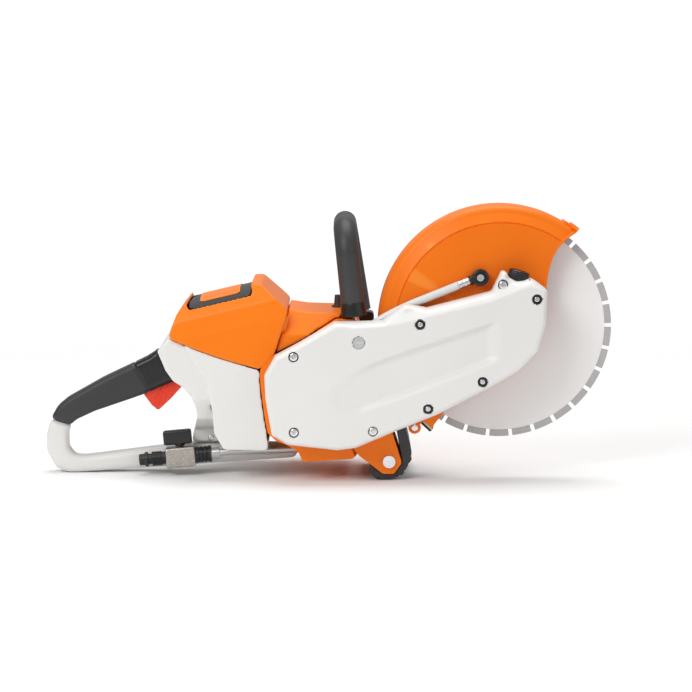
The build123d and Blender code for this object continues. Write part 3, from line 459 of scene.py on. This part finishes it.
outline = cornersRounded(coverOutline, cover["corner"])
low, high = np.min(outline, axis=0), np.max(outline, axis=0)
across, up = [int(n) for n in (high - low) / cover["cell"]]
bpy.ops.mesh.primitive_grid_add(x_subdivisions=across, y_subdivisions=up, size=1)
beltCover = started("belt_cover_shell")
points = readPoints(beltCover) * mm
flat = low + (points[:, :2] + 0.5) * (high - low)
away, nearest = distanceTo(flat, outline)
keepers = insideOf(flat, outline) & (away > 0.3 * cover["cell"])
writePoints(beltCover, np.stack([flat[:, 0], np.full(len(flat), cover["face"]), flat[:, 1]], axis=1))
opened(beltCover)
bpy.ops.mesh.select_mode(type="VERT")
bpy.ops.mesh.select_all(action="DESELECT")
bpy.ops.object.mode_set(mode="OBJECT")
beltCover.data.vertices.foreach_set("select", ~keepers)
bpy.ops.object.mode_set(mode="EDIT")
bpy.ops.mesh.delete(type="VERT")
bpy.ops.mesh.select_all(action="SELECT")
bpy.ops.mesh.normals_make_consistent(inside=False)
bpy.ops.mesh.select_all(action="DESELECT")
bpy.ops.mesh.select_non_manifold()
bpy.ops.object.mode_set(mode="OBJECT")

border = np.zeros(len(beltCover.data.vertices), bool)
beltCover.data.vertices.foreach_get("select", border)
points = readPoints(beltCover)
flat = points[:, [0, 2]]
away, nearest = distanceTo(flat, outline)
flat[border], away[border] = nearest[border], 0.0
seats = [(centre, cover["seatRadius"], cover["deepSeat"]) for centre in deepSeats]
seats += [(centre, cover["seatRadius"], cover["flushSeat"]) for centre in flushSeats]
seats.append((plugSeat, cover["plugRadius"], cover["plugSeat"]))
for centre, radius, depth in seats:
    # rows of points are drawn onto each seat's edge so that its wall stands round and steep
    reach = np.hypot(*(flat - centre).T)
    for ring, lowEdge, highEdge in ((radius - 0.35, radius - 0.9, radius),
                                    (radius + 0.25, radius, radius + 0.9)):
        band = (reach >= lowEdge) & (reach < highEdge)
        flat[band] = centre + (flat[band] - centre) / reach[band][:, None] * ring

rim = cover["rim"]
y = np.full(len(flat), cover["face"])
rolled = np.clip(rim - away, 0, rim)
y += rim - np.sqrt(rim * rim - rolled * rolled)
ridgeAway = distanceTo(flat, ridgeLine, closed=False)[0]
above = flat[:, 1] > np.interp(flat[:, 0], *zip(*ridgeLine))
above &= flat[:, 0] > ridgeLine[0][0]
y += np.where(above, np.minimum(cover["ridgeSlope"] * np.maximum(0, ridgeAway - 0.5), cover["ridgeDrop"]), 0)
ramp = np.ones(len(flat))
for i, width in enumerate(pocketWalls):
    a, b = np.array(pocketCorners[i], float), np.array(pocketCorners[(i + 1) % len(pocketCorners)], float)
    side = (b - a) / np.linalg.norm(b - a)
    ramp *= eased(((flat - a) @ np.array([side[1], -side[0]])) / width)
deepening = eased((flat[:, 0] - cover["pocketStart"]) / cover["pocketRun"])
y += cover["pocketDepth"] * ramp * (cover["pocketLeast"] + (1 - cover["pocketLeast"]) * deepening)
y += cover["crown"] * ((flat[:, 0] - cover["crownMiddle"]) / cover["crownReach"]) ** 2
for centre, radius, depth in seats:
    y += np.where(np.hypot(*(flat - centre).T) < radius - 0.1, depth, 0)
writePoints(beltCover, np.stack([flat[:, 0], y, flat[:, 1]], axis=1))
only(beltCover)
bpy.ops.object.mode_set(mode="EDIT")
for depth in (3.0, 9.0, cover["joint"] - cover["face"] - rim - 12.0):
    bpy.ops.mesh.extrude_edges_move(TRANSFORM_OT_translate={"value": (0, depth * mm, 0)})
bpy.ops.object.mode_set(mode="OBJECT")
points = readPoints(beltCover)
points[:, 1] = np.minimum(points[:, 1], cover["joint"])
writePoints(beltCover, points)
applied(beltCover, "SOLIDIFY", thickness=cover["wall"] * mm, offset=-1.0)
softened(beltCover, 40)
settled(beltCover, "saw_frame", "white_shell", finishes["whiteMouldedNylon"], "belt_cover")
print("belt cover made:", len(beltCover.data.polygons), "faces")

# big shells: merged copies of the frame's solids with moulded corners

# each one: its node, the grain of its rework in mm, the rounds of smoothing, its slot and its finish
shells = {
    "battery_hood_shell": ("battery_hood", 1.2, 6, "orange_shell", "orangeMouldedNylon"),
    "front_deck_shell": ("front_deck", 1.4, 5, "orange_shell", "orangeMouldedNylon"),
    "rear_housing_shell": ("rear_housing", 1.5, 5, "white_shell", "whiteMouldedNylon"),
    "motor_housing_casting": ("motor_housing", 1.5, 3, "orange_casting", "orangePowderCoat"),
    "left_cover_shell": ("left_cover", 1.3, 3, "white_shell", "whiteMouldedNylon"),
    "arm_plate_casting": ("arm_casting", 1.3, 2, "orange_casting", "orangePowderCoat"),
    "loop_handle_tube": ("loop_handle", 1.4, 16, "white_tube", "whitePowderCoat"),
    "foot_bracket_casting": ("foot_bracket", 1.0, 4, "orange_casting", "orangePowderCoat"),
}
for name, (node, grain, rounds, slotName, finishName) in shells.items():
    piece = moulded(copied(name, node), grain, rounds)
    settled(piece, "saw_frame", slotName, finishes[finishName], node)
    print(name, "made:", len(piece.data.polygons), "faces")


nodes["battery_latch"].material_slots[0].material = finishes["blackNylon"]


def turnedPiece(name, start, along, profile, steps=40):
    # a lathe-turned piece: (distance, radius) pairs from axis to axis, spun round a line
    bpy.ops.mesh.primitive_circle_add(vertices=len(profile), fill_type="NOTHING", location=(0, 0, 0))
    piece = started(name)
    along = Vector(along).normalized()
    side = along.orthogonal().normalized()
    points = [Vector(start) + along * distance + side * radius for distance, radius in profile]
    writePoints(piece, np.array(points))
    opened(piece)
    bpy.ops.mesh.select_all(action="DESELECT")
    bpy.ops.object.mode_set(mode="OBJECT")
    # the edge that closes the circle along the axis is taken out
    closing = [e for e in piece.data.edges if set(e.vertices) == {0, len(profile) - 1}]
    closing[0].select = True
    bpy.ops.object.mode_set(mode="EDIT")
    bpy.ops.mesh.select_mode(type="EDGE")
    bpy.ops.mesh.delete(type="EDGE")
    bpy.ops.mesh.select_mode(type="VERT")
    bpy.ops.mesh.select_all(action="SELECT")
    bpy.ops.mesh.spin(steps=steps, angle=2 * math.pi, center=Vector(start) * mm, axis=along)
    bpy.ops.mesh.select_all(action="SELECT")
    bpy.ops.mesh.remove_doubles(threshold=2 * weldReach)
    closedUp()
    softened(piece, 40)
    return piece


def slabPiece(name, corners, yNear, yFar, corner=0.0, bevel=0.0):
    # a plate cut to a side outline, its near and far edges bevelled
    corners = cornersRounded(corners, corner, 5) if corner else list(corners)
    bpy.ops.mesh.primitive_circle_add(vertices=len(corners), fill_type="NGON", location=(0, 0, 0))
    piece = started(name)
    writePoints(piece, np.array([(x, yNear, z) for x, z in corners]))
    opened(piece)
    bpy.ops.mesh.extrude_region_move(TRANSFORM_OT_translate={"value": (0, (yFar - yNear) * mm, 0)})
    closedUp()
    if bevel:
        applied(piece, "BEVEL", width=bevel * mm, segments=3, limit_method="ANGLE",
                angle_limit=math.radians(50), use_clamp_overlap=False)
    softened(piece, 40)
    return piece


# the casting's rib that shows as an even stripe behind the cover, and the web under the hood's parting line
ribEdge = [(-50.8, 132.4), (-63.6, 121.5), (-67.0, 114.3), (-67.1, 103.3), (-64.9, 83.0), (-62.3, 62.8),
           (-59.7, 49.9), (-51.6, 42.1), (-39.8, 37.2), (-36, 42), (-46, 48), (-52, 54), (-56, 84),
           (-57, 104), (-56, 112), (-46, 124)]
rib = {"near": -70.6, "far": -59.0, "corner": 3.0, "bevel": 0.5, "webHalf": 62}
castingRib = slabPiece("casting_rib", ribEdge, rib["near"], rib["far"], rib["corner"], rib["bevel"])
settled(castingRib, "saw_frame", "orange_casting", finishes["orangePowderCoat"])
webEdge = [(-43, 168), (-37, 168), (-47, 136), (-54, 134)]
partingWeb = slabPiece("hood_parting_web", webEdge, -rib["webHalf"], rib["webHalf"])
settled(partingWeb, "saw_frame", "orange_shell", finishes["orangeMouldedNylon"])

# guard: a spun hood over the wheel, with a cheek, a bead and a flared lip at its front

wheel = Vector((178.4, -36.0, 155.5))
# angles round the wheel's axis; the near face and the inner side of its skin; the far plate
guard = {"start": 30.0, "front": 52.0, "rear": 236.0, "steps": 110, "farSteps": 100, "face": -59.2,
         "skin": -57.0, "bevel": 0.5, "bevelAngle": 45, "smooth": 38, "boss": (90.5, 53.4)}


def spunSector(name, profile, first, last, steps):
    # a closed profile of (distance from the wheel axis, y), spun from one angle back to another
    bpy.ops.mesh.primitive_circle_add(vertices=len(profile), fill_type="NGON", location=(0, 0, 0))
    piece = started(name)
    a = math.radians(first)
    writePoints(piece, np.array([(wheel.x + r * math.cos(a), y, wheel.z + r * math.sin(a))
                                 for r, y in profile]))
    opened(piece)
    bpy.ops.mesh.spin(steps=steps, angle=math.radians(last - first), center=wheel * mm, axis=(0, 1, 0))
    closedUp()
    return piece


guardProfile = [(26, -59.2), (60, -59.2), (106.6, -59.2), (107.1, -58.0), (107.9, -58.0), (108.4, -58.9),
                (109.6, -58.6), (116.6, -54.0), (117.2, -53.4), (118.4, -53.2), (120.6, -52.4),
                (122.9, -50.4), (124.4, -47.6), (125, -44.5), (125, -14.2), (122.8, -14.2), (122.8, -44.5),
                (121.0, -48.8), (118.0, -50.8), (115, -52.0), (108, -56.2), (60, -57.0), (26, -57.0)]
guardShell = spunSector("guard_shell_casting", guardProfile, guard["start"], guard["rear"], guard["steps"])
# ahead of the front line only the near skin stays, and its edge follows a soft curve
edgeLine = [(224.6, 187.4), (225.2, 200), (226.6, 210.5), (230.6, 225.5), (235.6, 235.6), (245.7, 246.2),
            (254.3, 252.0)]
behind = [(wheel.x, wheel.z), (330, 120), (330, 262), (270.7, 273.7)]
ahead = edgeLine + [(262, 262), (330, 262), (330, 110), (222, 110), (222, 172)]
cut(guardShell, slabPiece("behind", behind, guard["skin"] + 0.1, 0))
cut(guardShell, slabPiece("ahead", ahead, -70, 0))
# a bead along the front edge, the flared lip and its frill, the hub, and the boss at the lower end
bead = edgeLine + [(x - 6.94 + 0.02 * z, 1.01 * z - 0.67) for x, z in reversed(edgeLine)]
cut(guardShell, slabPiece("bead", bead, -59.85, -56.4, bevel=0.5), "UNION")
lipProfile = [(122.9, -49), (126, -52), (129, -48), (129, -14.3), (122.9, -14.3)]
cut(guardShell, spunSector("lip", lipProfile, guard["front"] - 0.8, guard["front"] + 2.6, 4), "UNION")
frillProfile = [(122.9, -48), (127, -47.5), (127, -14.3), (122.9, -14.3)]
cut(guardShell, spunSector("frill", frillProfile, guard["front"] + 2.0, guard["front"] + 6.5, 5), "UNION")
hubProfile = [(22.1, guard["face"]), (30.5, guard["face"]), (30.5, -51), (22.1, -51)]
cut(guardShell, spunSector("hub", hubProfile, 0, 359.99, 64), "UNION")
heelEdge = [(92, 59), (97, 57), (105.6, 49.4), (109.2, 52.6), (115, 69.3), (104, 72)]
cut(guardShell, slabPiece("heel", heelEdge, guard["face"], guard["face"] + 4.0, 0.8), "UNION")
bossX, bossZ = guard["boss"]
boss = turnedPiece("boss", (bossX, -61.5, bossZ), (0, 1, 0),
                   [(6.3, 0), (6.3, 6.4), (0.8, 6.4), (0, 5.6), (0, 4.4), (0.5, 4.0), (0.5, 0)], 40)
cut(guardShell, boss, "UNION")
guardBevel = {"width": guard["bevel"] * mm, "segments": 2, "limit_method": "ANGLE",
              "angle_limit": math.radians(guard["bevelAngle"])}
applied(guardShell, "BEVEL", **guardBevel)
softened(guardShell, guard["smooth"])
applied(guardShell, "WEIGHTED_NORMAL", keep_sharp=True)
settled(guardShell, "guard", "orange_casting", finishes["orangePowderCoat"], "guard_shell")
bossScrew = turnedPiece("guard_boss_screw", (bossX, -62.2, bossZ), (0, 1, 0),
                        [(5.0, 0), (5.0, 3.4), (0.5, 3.4), (0.1, 3.0), (0, 2.4), (0, 0)], 36)
slotEdge = [(bossX + x, bossZ + z) for x, z in ((-0.6, -5.4), (0.6, -5.4), (0.6, 4.6), (-0.6, 4.6))]
cut(bossScrew, slabPiece("slot", slotEdge, -63, -61.3))
softened(bossScrew, guard["smooth"])
settled(bossScrew, "guard", "zinc_steel", finishes["zincPlate"])
# a sealing strip of rubber with a pale felt back, held at the guard's lower end
sealEdge = [(97.3, 57.6), (98.9, 58.9), (107.5, 50.4), (105.9, 49.0)]
sealStrip = slabPiece("guard_seal_strip", sealEdge, -60.4, guard["skin"], bevel=0.3)
settled(sealStrip, "guard", "black_grip", finishes["beltRubber"])
feltEdge = [(98.9, 58.9), (100.2, 60.1), (109.0, 51.6), (107.5, 50.4)]
feltStrip = slabPiece("guard_seal_felt", feltEdge, -60.0, guard["skin"], bevel=0.3)
settled(feltStrip, "guard", "white_shell", finishes["creamFelt"])

farProfile = [(62, -14.2), (125, -14.2), (125, -13.2), (124, -12.0), (112, -12.0), (111, -12.6), (69, -12.6),
              (67, -12.0), (62, -12.0)]
farSide = spunSector("guard_far_plate", farProfile, guard["front"], guard["rear"], guard["farSteps"])
applied(farSide, "BEVEL", **guardBevel)
softened(farSide, guard["smooth"])
settled(farSide, "guard", "orange_casting", finishes["orangePowderCoat"], "guard_far_side")
print("guard made:", len(guardShell.data.polygons), "faces")

# rear grip, its front collar, trigger and lockout

# the grip leans up towards the body; a groove parts its rubber from the hard collar in front
gripShape = {"grain": 1.1, "rounds": 10, "lean": 27, "joint": (-195.0, 0, 103.0), "groove": 1.1}
grip = moulded(copied("rear_grip_rubber", "rear_grip"), gripShape["grain"], gripShape["rounds"])
lean = math.radians(gripShape["lean"])
axis, middle = np.array((math.cos(lean), 0, math.sin(lean))), np.array(gripShape["joint"])
points = readPoints(grip)
along = (points - middle) @ axis
depth = gripShape["groove"] * np.exp(-(along / gripShape["groove"]) ** 2)
outward = points - middle - along[:, None] * axis
points -= outward / np.maximum(1e-6, np.linalg.norm(outward, axis=1))[:, None] * depth[:, None]
writePoints(grip, points)
settled(grip, "saw_frame", "black_grip", finishes["charcoalGripRubber"], "rear_grip")
grip.data.materials.append(finishes["blackNylon"])
for face in grip.data.polygons:
    face.material_index = int((np.array(face.center) / mm - middle) @ axis > 0)

# four slanted grooves on each flank, following the trigger's own lean
triggerShape = {"grain": 0.7, "rounds": 3, "grooves": 4, "pitch": 7.5, "width": 3.2, "reach": (62, 92),
                "slant": 10, "climb": 0.9, "flank": (6.2, 8.0)}
trigger = copied("trigger_lever", "trigger")
for k in range(triggerShape["grooves"]):
    step = triggerShape["pitch"] * k
    x, rise = step - 184.0, triggerShape["climb"] * step
    lowZ, highZ = [z + rise for z in triggerShape["reach"]]
    corners = [(x, lowZ), (x + triggerShape["width"], lowZ),
               (x + triggerShape["width"] + triggerShape["slant"], highZ),
               (x + triggerShape["slant"], highZ)]
    for side in (-1, 1):
        yNear, yFar = [side * y for y in triggerShape["flank"]]
        cut(trigger, slabPiece("groove", corners, yNear, yFar))
moulded(trigger, triggerShape["grain"], triggerShape["rounds"])
settled(trigger, "trigger", "red_plastic", finishes["redNylon"], "trigger")

lockout = moulded(copied("lockout_paddle", "lockout_lever"), 0.6, 4)
settled(lockout, "lockout", "black_plastic", finishes["blackNylon"], "lockout_lever")
print("rear handle made")

# skid with its tread ribs

tread = {"half": 1.1, "depth": 0.7, "near": -70, "far": 45, "grain": 1.0, "rounds": 2}
skid = copied("skid_rubber", "skid")
ribbed = [(45.6, 8.0), (50, 1.4), (57, 0.6), (64, 0.6), (71, 2.6), (78, 5.8), (82.5, 12.6), (86.6, 20),
          (86.8, 28), (85, 37), (83, 46), (81, 54)]
for (xa, za), (xb, zb) in zip(ribbed[:-1], ribbed[1:]):
    side = Vector((xb - xa, zb - za)).normalized()
    out = Vector((side.y, -side.x))
    mid = Vector(((xa + xb) / 2, (za + zb) / 2))
    notch = [mid + side * tread["half"] * a + out * b
             for a, b in ((-1, 3), (1, 3), (1, -tread["depth"]), (-1, -tread["depth"]))]
    cut(skid, slabPiece("notch", [tuple(corner) for corner in notch], tread["near"], tread["far"]))
moulded(skid, tread["grain"], tread["rounds"])
settled(skid, "saw_frame", "black_grip", finishes["charcoalGripRubber"], "skid")
print("skid made:", len(skid.data.polygons), "faces")

# lock button

# distances along the button's axis are taken from the wheel's axis
knob = {"lean": 17.0, "foot": (wheel.x, -74.0, wheel.z), "base": 53.0, "crown": 9.0, "crownRadius": 8.6,
        "flutes": 14, "fluteDepth": 0.035, "fluteShare": 0.3}
lean = math.radians(knob["lean"])
buttonFoot, buttonAxis = Vector(knob["foot"]), Vector((math.sin(lean), 0, math.cos(lean)))
button = turnedPiece("lock_button_cap", buttonFoot + buttonAxis * knob["base"], buttonAxis,
                     [(-36.4, 0), (-36.4, 1.9), (3.0, 1.9), (3.0, 6.0), (0, 6.0), (0, 9.6), (0.8, 10.4),
                      (1.8, 10.8), (7.8, 10.8), (9.0, 10.3), (9.8, 9.2), (10.0, 8.2), (9.5, 6.8), (9.3, 0)],
                     56)
points = readPoints(button)
local = points - np.array(buttonFoot)
high = local @ np.array(buttonAxis) - knob["base"]
radial = local - (high + knob["base"])[:, None] * np.array(buttonAxis)
angle = np.arctan2(radial[:, 1], radial @ np.array((math.cos(lean), 0, -math.sin(lean))))
fluted = (np.linalg.norm(radial, axis=1) > 10) & (high > 1) & (high < knob["crown"])
hollows = fluted & (np.cos(knob["flutes"] * angle) > knob["fluteShare"])
points -= np.where(hollows, knob["fluteDepth"], 0)[:, None] * radial
writePoints(button, points)
settled(button, "lock_button", "black_plastic", finishes["blackNylon"], "lock_button")
button.data.materials.append(finishes["brownNylon"])
for face in button.data.polygons:
    place = Vector(face.center) / mm - buttonFoot
    height = place.dot(buttonAxis)
    fromAxis = (place - buttonAxis * height).length
    face.material_index = int(height > knob["base"] + knob["crown"] and fromAxis < knob["crownRadius"])
print("lock button made")

# battery: its crowned top with a raised orange panel

battery = {"tilt": 13.0, "foot": (-77.4, 0.0, 53.5), "top": 140.0, "crownRadius": 303.0, "grain": 0.9,
           "rounds": 4, "panel": (21.0, 45.0), "panelCorner": 6.0, "panelWall": 1.6, "proud": 0.7,
           "creases": 30}
tilt = math.radians(battery["tilt"])


def fromBattery(local):
    # battery coordinates to machine coordinates
    x = local[:, 0] * math.cos(tilt) - local[:, 2] * math.sin(tilt)
    z = local[:, 0] * math.sin(tilt) + local[:, 2] * math.cos(tilt)
    return np.stack([x, local[:, 1], z], axis=1) + np.array(battery["foot"])


batteryTop = moulded(copied("battery_top_frame", "battery_top"), battery["grain"], battery["rounds"])
settled(batteryTop, "battery", "black_plastic", finishes["blackNylon"], "battery_top")
bpy.ops.mesh.primitive_grid_add(x_subdivisions=24, y_subdivisions=48, size=2)
panel = started("battery_top_panel")
local = readPoints(panel) * mm * np.array((*battery["panel"], 1))
# its four corners are drawn in round
reach = np.array(battery["panel"]) - battery["panelCorner"]
beyond = np.maximum(np.abs(local[:, :2]) - reach, 0)
length = np.maximum(1e-6, np.hypot(beyond[:, 0], beyond[:, 1]))
largest = np.maximum(beyond[:, 0], beyond[:, 1])
local[:, :2] = np.sign(local[:, :2]) * (np.minimum(np.abs(local[:, :2]), reach)
                                        + beyond * (largest / length)[:, None])
crown = battery["crownRadius"]
local[:, 2] = battery["top"] - crown + np.sqrt(crown ** 2 - local[:, 1] ** 2) + battery["proud"]
local[:, 2] -= 0.5 * (np.abs(np.abs(local[:, 1]) - battery["creases"]) < 1.2)
writePoints(panel, fromBattery(local))
applied(panel, "SOLIDIFY", thickness=battery["panelWall"] * mm, offset=-1.0)
softened(panel, 30)
settled(panel, "battery", "orange_shell", finishes["orangeMouldedNylon"])
print("battery top made")

# screws of the belt cover and the left cover

# six-lobe heads: how far the flush ones stand, how deep the small ones lie, and where the far side's are
screw = {"lobe": 1.75, "lobeDepth": 0.4, "socket": 1.6, "small": 0.74, "smallDrop": 2.0, "farFace": 76.0}
turnAngles = [math.radians(a) for a in range(0, 360, 10)]
lobes = [screw["lobe"] + screw["lobeDepth"] * math.cos(6 * a) for a in turnAngles]
star = [(lobe * math.cos(a), lobe * math.sin(a)) for lobe, a in zip(lobes, turnAngles)]
screwHead = turnedPiece("screw", (0, 0, 0), (0, 1, 0),
                        [(0, 0), (0, 2.4), (0.15, 3.4), (0.7, 4.2), (1.4, 4.6), (2.8, 4.6), (2.8, 2.5),
                         (6.0, 2.5), (6.0, 0)], 32)
cut(screwHead, slabPiece("socket", star, -1, screw["socket"]))
softened(screwHead, 35)
smallHead = screwHead.copy()
smallHead.data = screwHead.data.copy()
bpy.context.scene.collection.objects.link(smallHead)
writePoints(smallHead, readPoints(smallHead) * np.array((screw["small"], 1, screw["small"])))


def screwAt(model, place, y, facing):
    # a copy of a screw with its head at y, facing -Y (1) or +Y (-1)
    piece = model.copy()
    piece.data = model.data.copy()
    bpy.context.scene.collection.objects.link(piece)
    points = readPoints(piece) * np.array((facing, facing, 1)) + np.array((place[0], y, place[1]))
    writePoints(piece, points)
    return piece


sideSeats = [(-40, 52), (-54, 100), (24, 46), (6, 150)]
flushTops = [-97.7, -97.7, -97.7, -91.2]
screws = [screwAt(screwHead, place, y, 1) for place, y in zip(flushSeats, flushTops)]
screws += [screwAt(smallHead, place, cover["face"] + screw["smallDrop"], 1) for place in deepSeats]
screws += [screwAt(screwHead, place, screw["farFace"], -1) for place in sideSeats]
screws.append(screwAt(smallHead, (-120.8, 36.2), -13.4, 1))      # the one in the neck, above the water pipe
bpy.data.objects.remove(screwHead)
bpy.data.objects.remove(smallHead)
coverScrews = joined("cover_screw_set", screws)
softened(coverScrews, 35)
settled(coverScrews, "saw_frame", "zinc_steel", finishes["zincPlate"], "cover_screws")
# black rings as painted shade: deep ones darken the sunk seats' walls, thin ones darken the gaps round the flush
# heads and the plug
deepShadeRing = [(0, 3.5), (0, 4.6), (0.3, 4.95), (2.2, 4.95), (2.2, 3.5), (0, 3.5)]
thinShadeRing = [(0.5, 4.55), (0.35, 4.7), (0.35, 5.0), (1.6, 5.0), (1.6, 4.55), (0.5, 4.55)]
plugShadeRing = [(0.2, 6.05), (0, 6.2), (0, 6.6), (1.6, 6.6), (1.6, 6.05), (0.2, 6.05)]
paintedShadeRings = [turnedPiece("painted_shade_ring", (x, cover["face"] + 1.3, z), (0, 1, 0), deepShadeRing, 32) for x, z in deepSeats]
paintedShadeRings += [turnedPiece("painted_shade_ring", (x, y - 0.05, z), (0, 1, 0), thinShadeRing, 36)
           for (x, z), y in zip(flushSeats, flushTops)]
paintedShadeRings.append(turnedPiece("painted_shade_ring", (plugSeat[0], cover["face"] + 0.7, plugSeat[1]), (0, 1, 0), plugShadeRing, 40))
seatPaintedShadeRings = joined("screw_seat_painted_shade_rings", paintedShadeRings)
settled(seatPaintedShadeRings, "saw_frame", "black_plastic", finishes["blackNylon"])
print("screws made")

# water valve, its coupling and the hose

# the valve's line climbs a little towards the pipe
water = {"valve": (-151.5, -26.0, 19.2), "climb": 5.0, "coupling": 43.5, "collar": 15.5,
         "eye": (157.3, -67.6, 207.8)}
valveCentre = Vector(water["valve"])
flow = Vector((math.cos(math.radians(water["climb"])), 0, math.sin(math.radians(water["climb"]))))
valveBody = moulded(copied("valve_body_casting", "valve_body"), 0.8, 3)
settled(valveBody, "saw_frame", "nickel_brass", finishes["nickelledBrass"], "valve_body")
valveLever = moulded(copied("valve_lever_cap", "valve_lever"), 0.7, 9)
settled(valveLever, "water_valve", "black_plastic", finishes["blackNylon"], "valve_lever")
grooves = [point for k in range(4) for point in ((15.0 + 2 * k, 7.7), (15.3 + 2 * k, 7.1),
                                                 (16.1 + 2 * k, 7.1), (16.4 + 2 * k, 7.7))]
coupling = turnedPiece("water_coupling", valveCentre - flow * water["coupling"], flow,
                       [(12, 0), (12, 3.5), (0.4, 3.5), (0, 4.0), (0, 5.4), (0.6, 6.0), (6.0, 6.0),
                        (6.0, 7.2), (6.5, 7.7), (9.0, 7.7), (9.5, 7.2), (9.5, 5.6), (13.5, 5.6), (13.5, 7.3),
                        (13.9, 7.7)] + grooves + [(23.0, 7.7), (23.5, 7.2), (23.5, 6.5), (28, 6.5), (28, 0)],
                       40)
collarRings = [point for k in range(3) for point in ((3.0 + 4 * k, 8.5), (3.4 + 4 * k, 7.8),
                                                     (4.6 + 4 * k, 7.8), (5.0 + 4 * k, 8.5))]
collar = turnedPiece("collar", valveCentre + flow * water["collar"], flow,
                     [(0, 0), (0, 8.0), (0.5, 8.5)] + collarRings + [(16.0, 8.5), (16.5, 8.0), (16.5, 0)],
                     40)
couplings = joined("water_couplings", [coupling, collar])
settled(couplings, "saw_frame", "black_plastic", finishes["blackNylon"], "hose_coupling")

# from the pipe to the guard
hose = {"radius": 4.25,
        "points": [(-16, -26, 27), (0, -28, 28), (12, -36, 36), (25, -51, 58), (25, -53, 96), (25, -53, 134),
                   (33, -57, 149), (48, -62, 160), (66, -64.2, 171), (84, -64.2, 179.6), (101, -64.2, 186.4),
                   (118, -64.2, 193.1), (135, -64.2, 199.9)]}
line = bpy.data.curves.new("water_hose_tube", "CURVE")
line.dimensions, line.bevel_depth, line.bevel_resolution, line.resolution_u = "3D", hose["radius"] * mm, 6, 8
line.use_fill_caps = True
route = line.splines.new("NURBS")
route.points.add(len(hose["points"]) - 1)
for point, place in zip(route.points, hose["points"]):
    point.co = (*(Vector(place) * mm), 1)
route.order_u, route.use_endpoint_u = 3, True
tube = bpy.data.objects.new("water_hose_tube", line)
bpy.context.scene.collection.objects.link(tube)
only(tube)
bpy.ops.object.convert(target="MESH")
tube = bpy.context.object
bpy.ops.object.shade_smooth()
tube.data.materials.append(finishes["milkyHose"])
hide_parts("water_hose")
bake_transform(tube)

hoseLine = Vector((51.0, 0, 20.3)).normalized()
crimp = Vector(hose["points"][-1])
ferrule = turnedPiece("hose_crimp", crimp, hoseLine,
                      [(0.1, 0), (0.1, 4.3), (0.5, 4.75), (3.6, 4.75), (4.0, 4.3), (5.2, 4.3), (5.6, 4.75),
                       (9.0, 4.75), (9.4, 4.2), (12.1, 4.2), (12.1, 0)], 36)
settled(ferrule, "guard", "zinc_steel", finishes["zincPlate"], "hose_ferrule")
banjoEye = turnedPiece("banjo_eye", water["eye"], (0, 1, 0),
                       [(6.8, 3.7), (6.8, 7.6), (6.2, 8.4), (5.2, 8.6), (1.6, 8.6), (0.6, 8.3), (0, 7.4),
                        (0.0, 5.2), (0.8, 4.6), (0.8, 3.7), (6.8, 3.7)], 44)
neck = turnedPiece("banjo_neck", crimp + hoseLine * 11.9, hoseLine,
                   [(0, 0), (0, 4.3), (1.0, 4.9), (2.4, 4.9), (3.2, 4.3), (8.0, 4.3), (8.0, 0)], 28)
cut(banjoEye, neck, "UNION")
softened(banjoEye, 38)
settled(banjoEye, "guard", "black_plastic", finishes["blackNylon"], "banjo_fitting")
nodes["water_pipe"].material_slots[0].material = finishes["platedPipe"]
print("water line made")

# machined and moulded pieces that keep their solids get a fine edge

fineEdge = {"width": 0.3, "segments": 2, "angle": 50}
for name in ("wheel_core", "diamond_segments", "inner_flange", "outer_flange", "flange_bolt", "frame_bolts",
             "banjo_bolt", "cover_plug", "handlebar_mounts", "top_bumper", "battery_case", "battery_latch",
             "guard_rubber_strip", "guard_screws"):
    weld = nodes[name].modifiers.new("weld", "WELD")
    weld.merge_threshold = weldReach
    edge = nodes[name].modifiers.new("edge", "BEVEL")
    edge.width, edge.segments = fineEdge["width"] * mm, fineEdge["segments"]
    edge.limit_method, edge.angle_limit = "ANGLE", math.radians(fineEdge["angle"])

print("done")
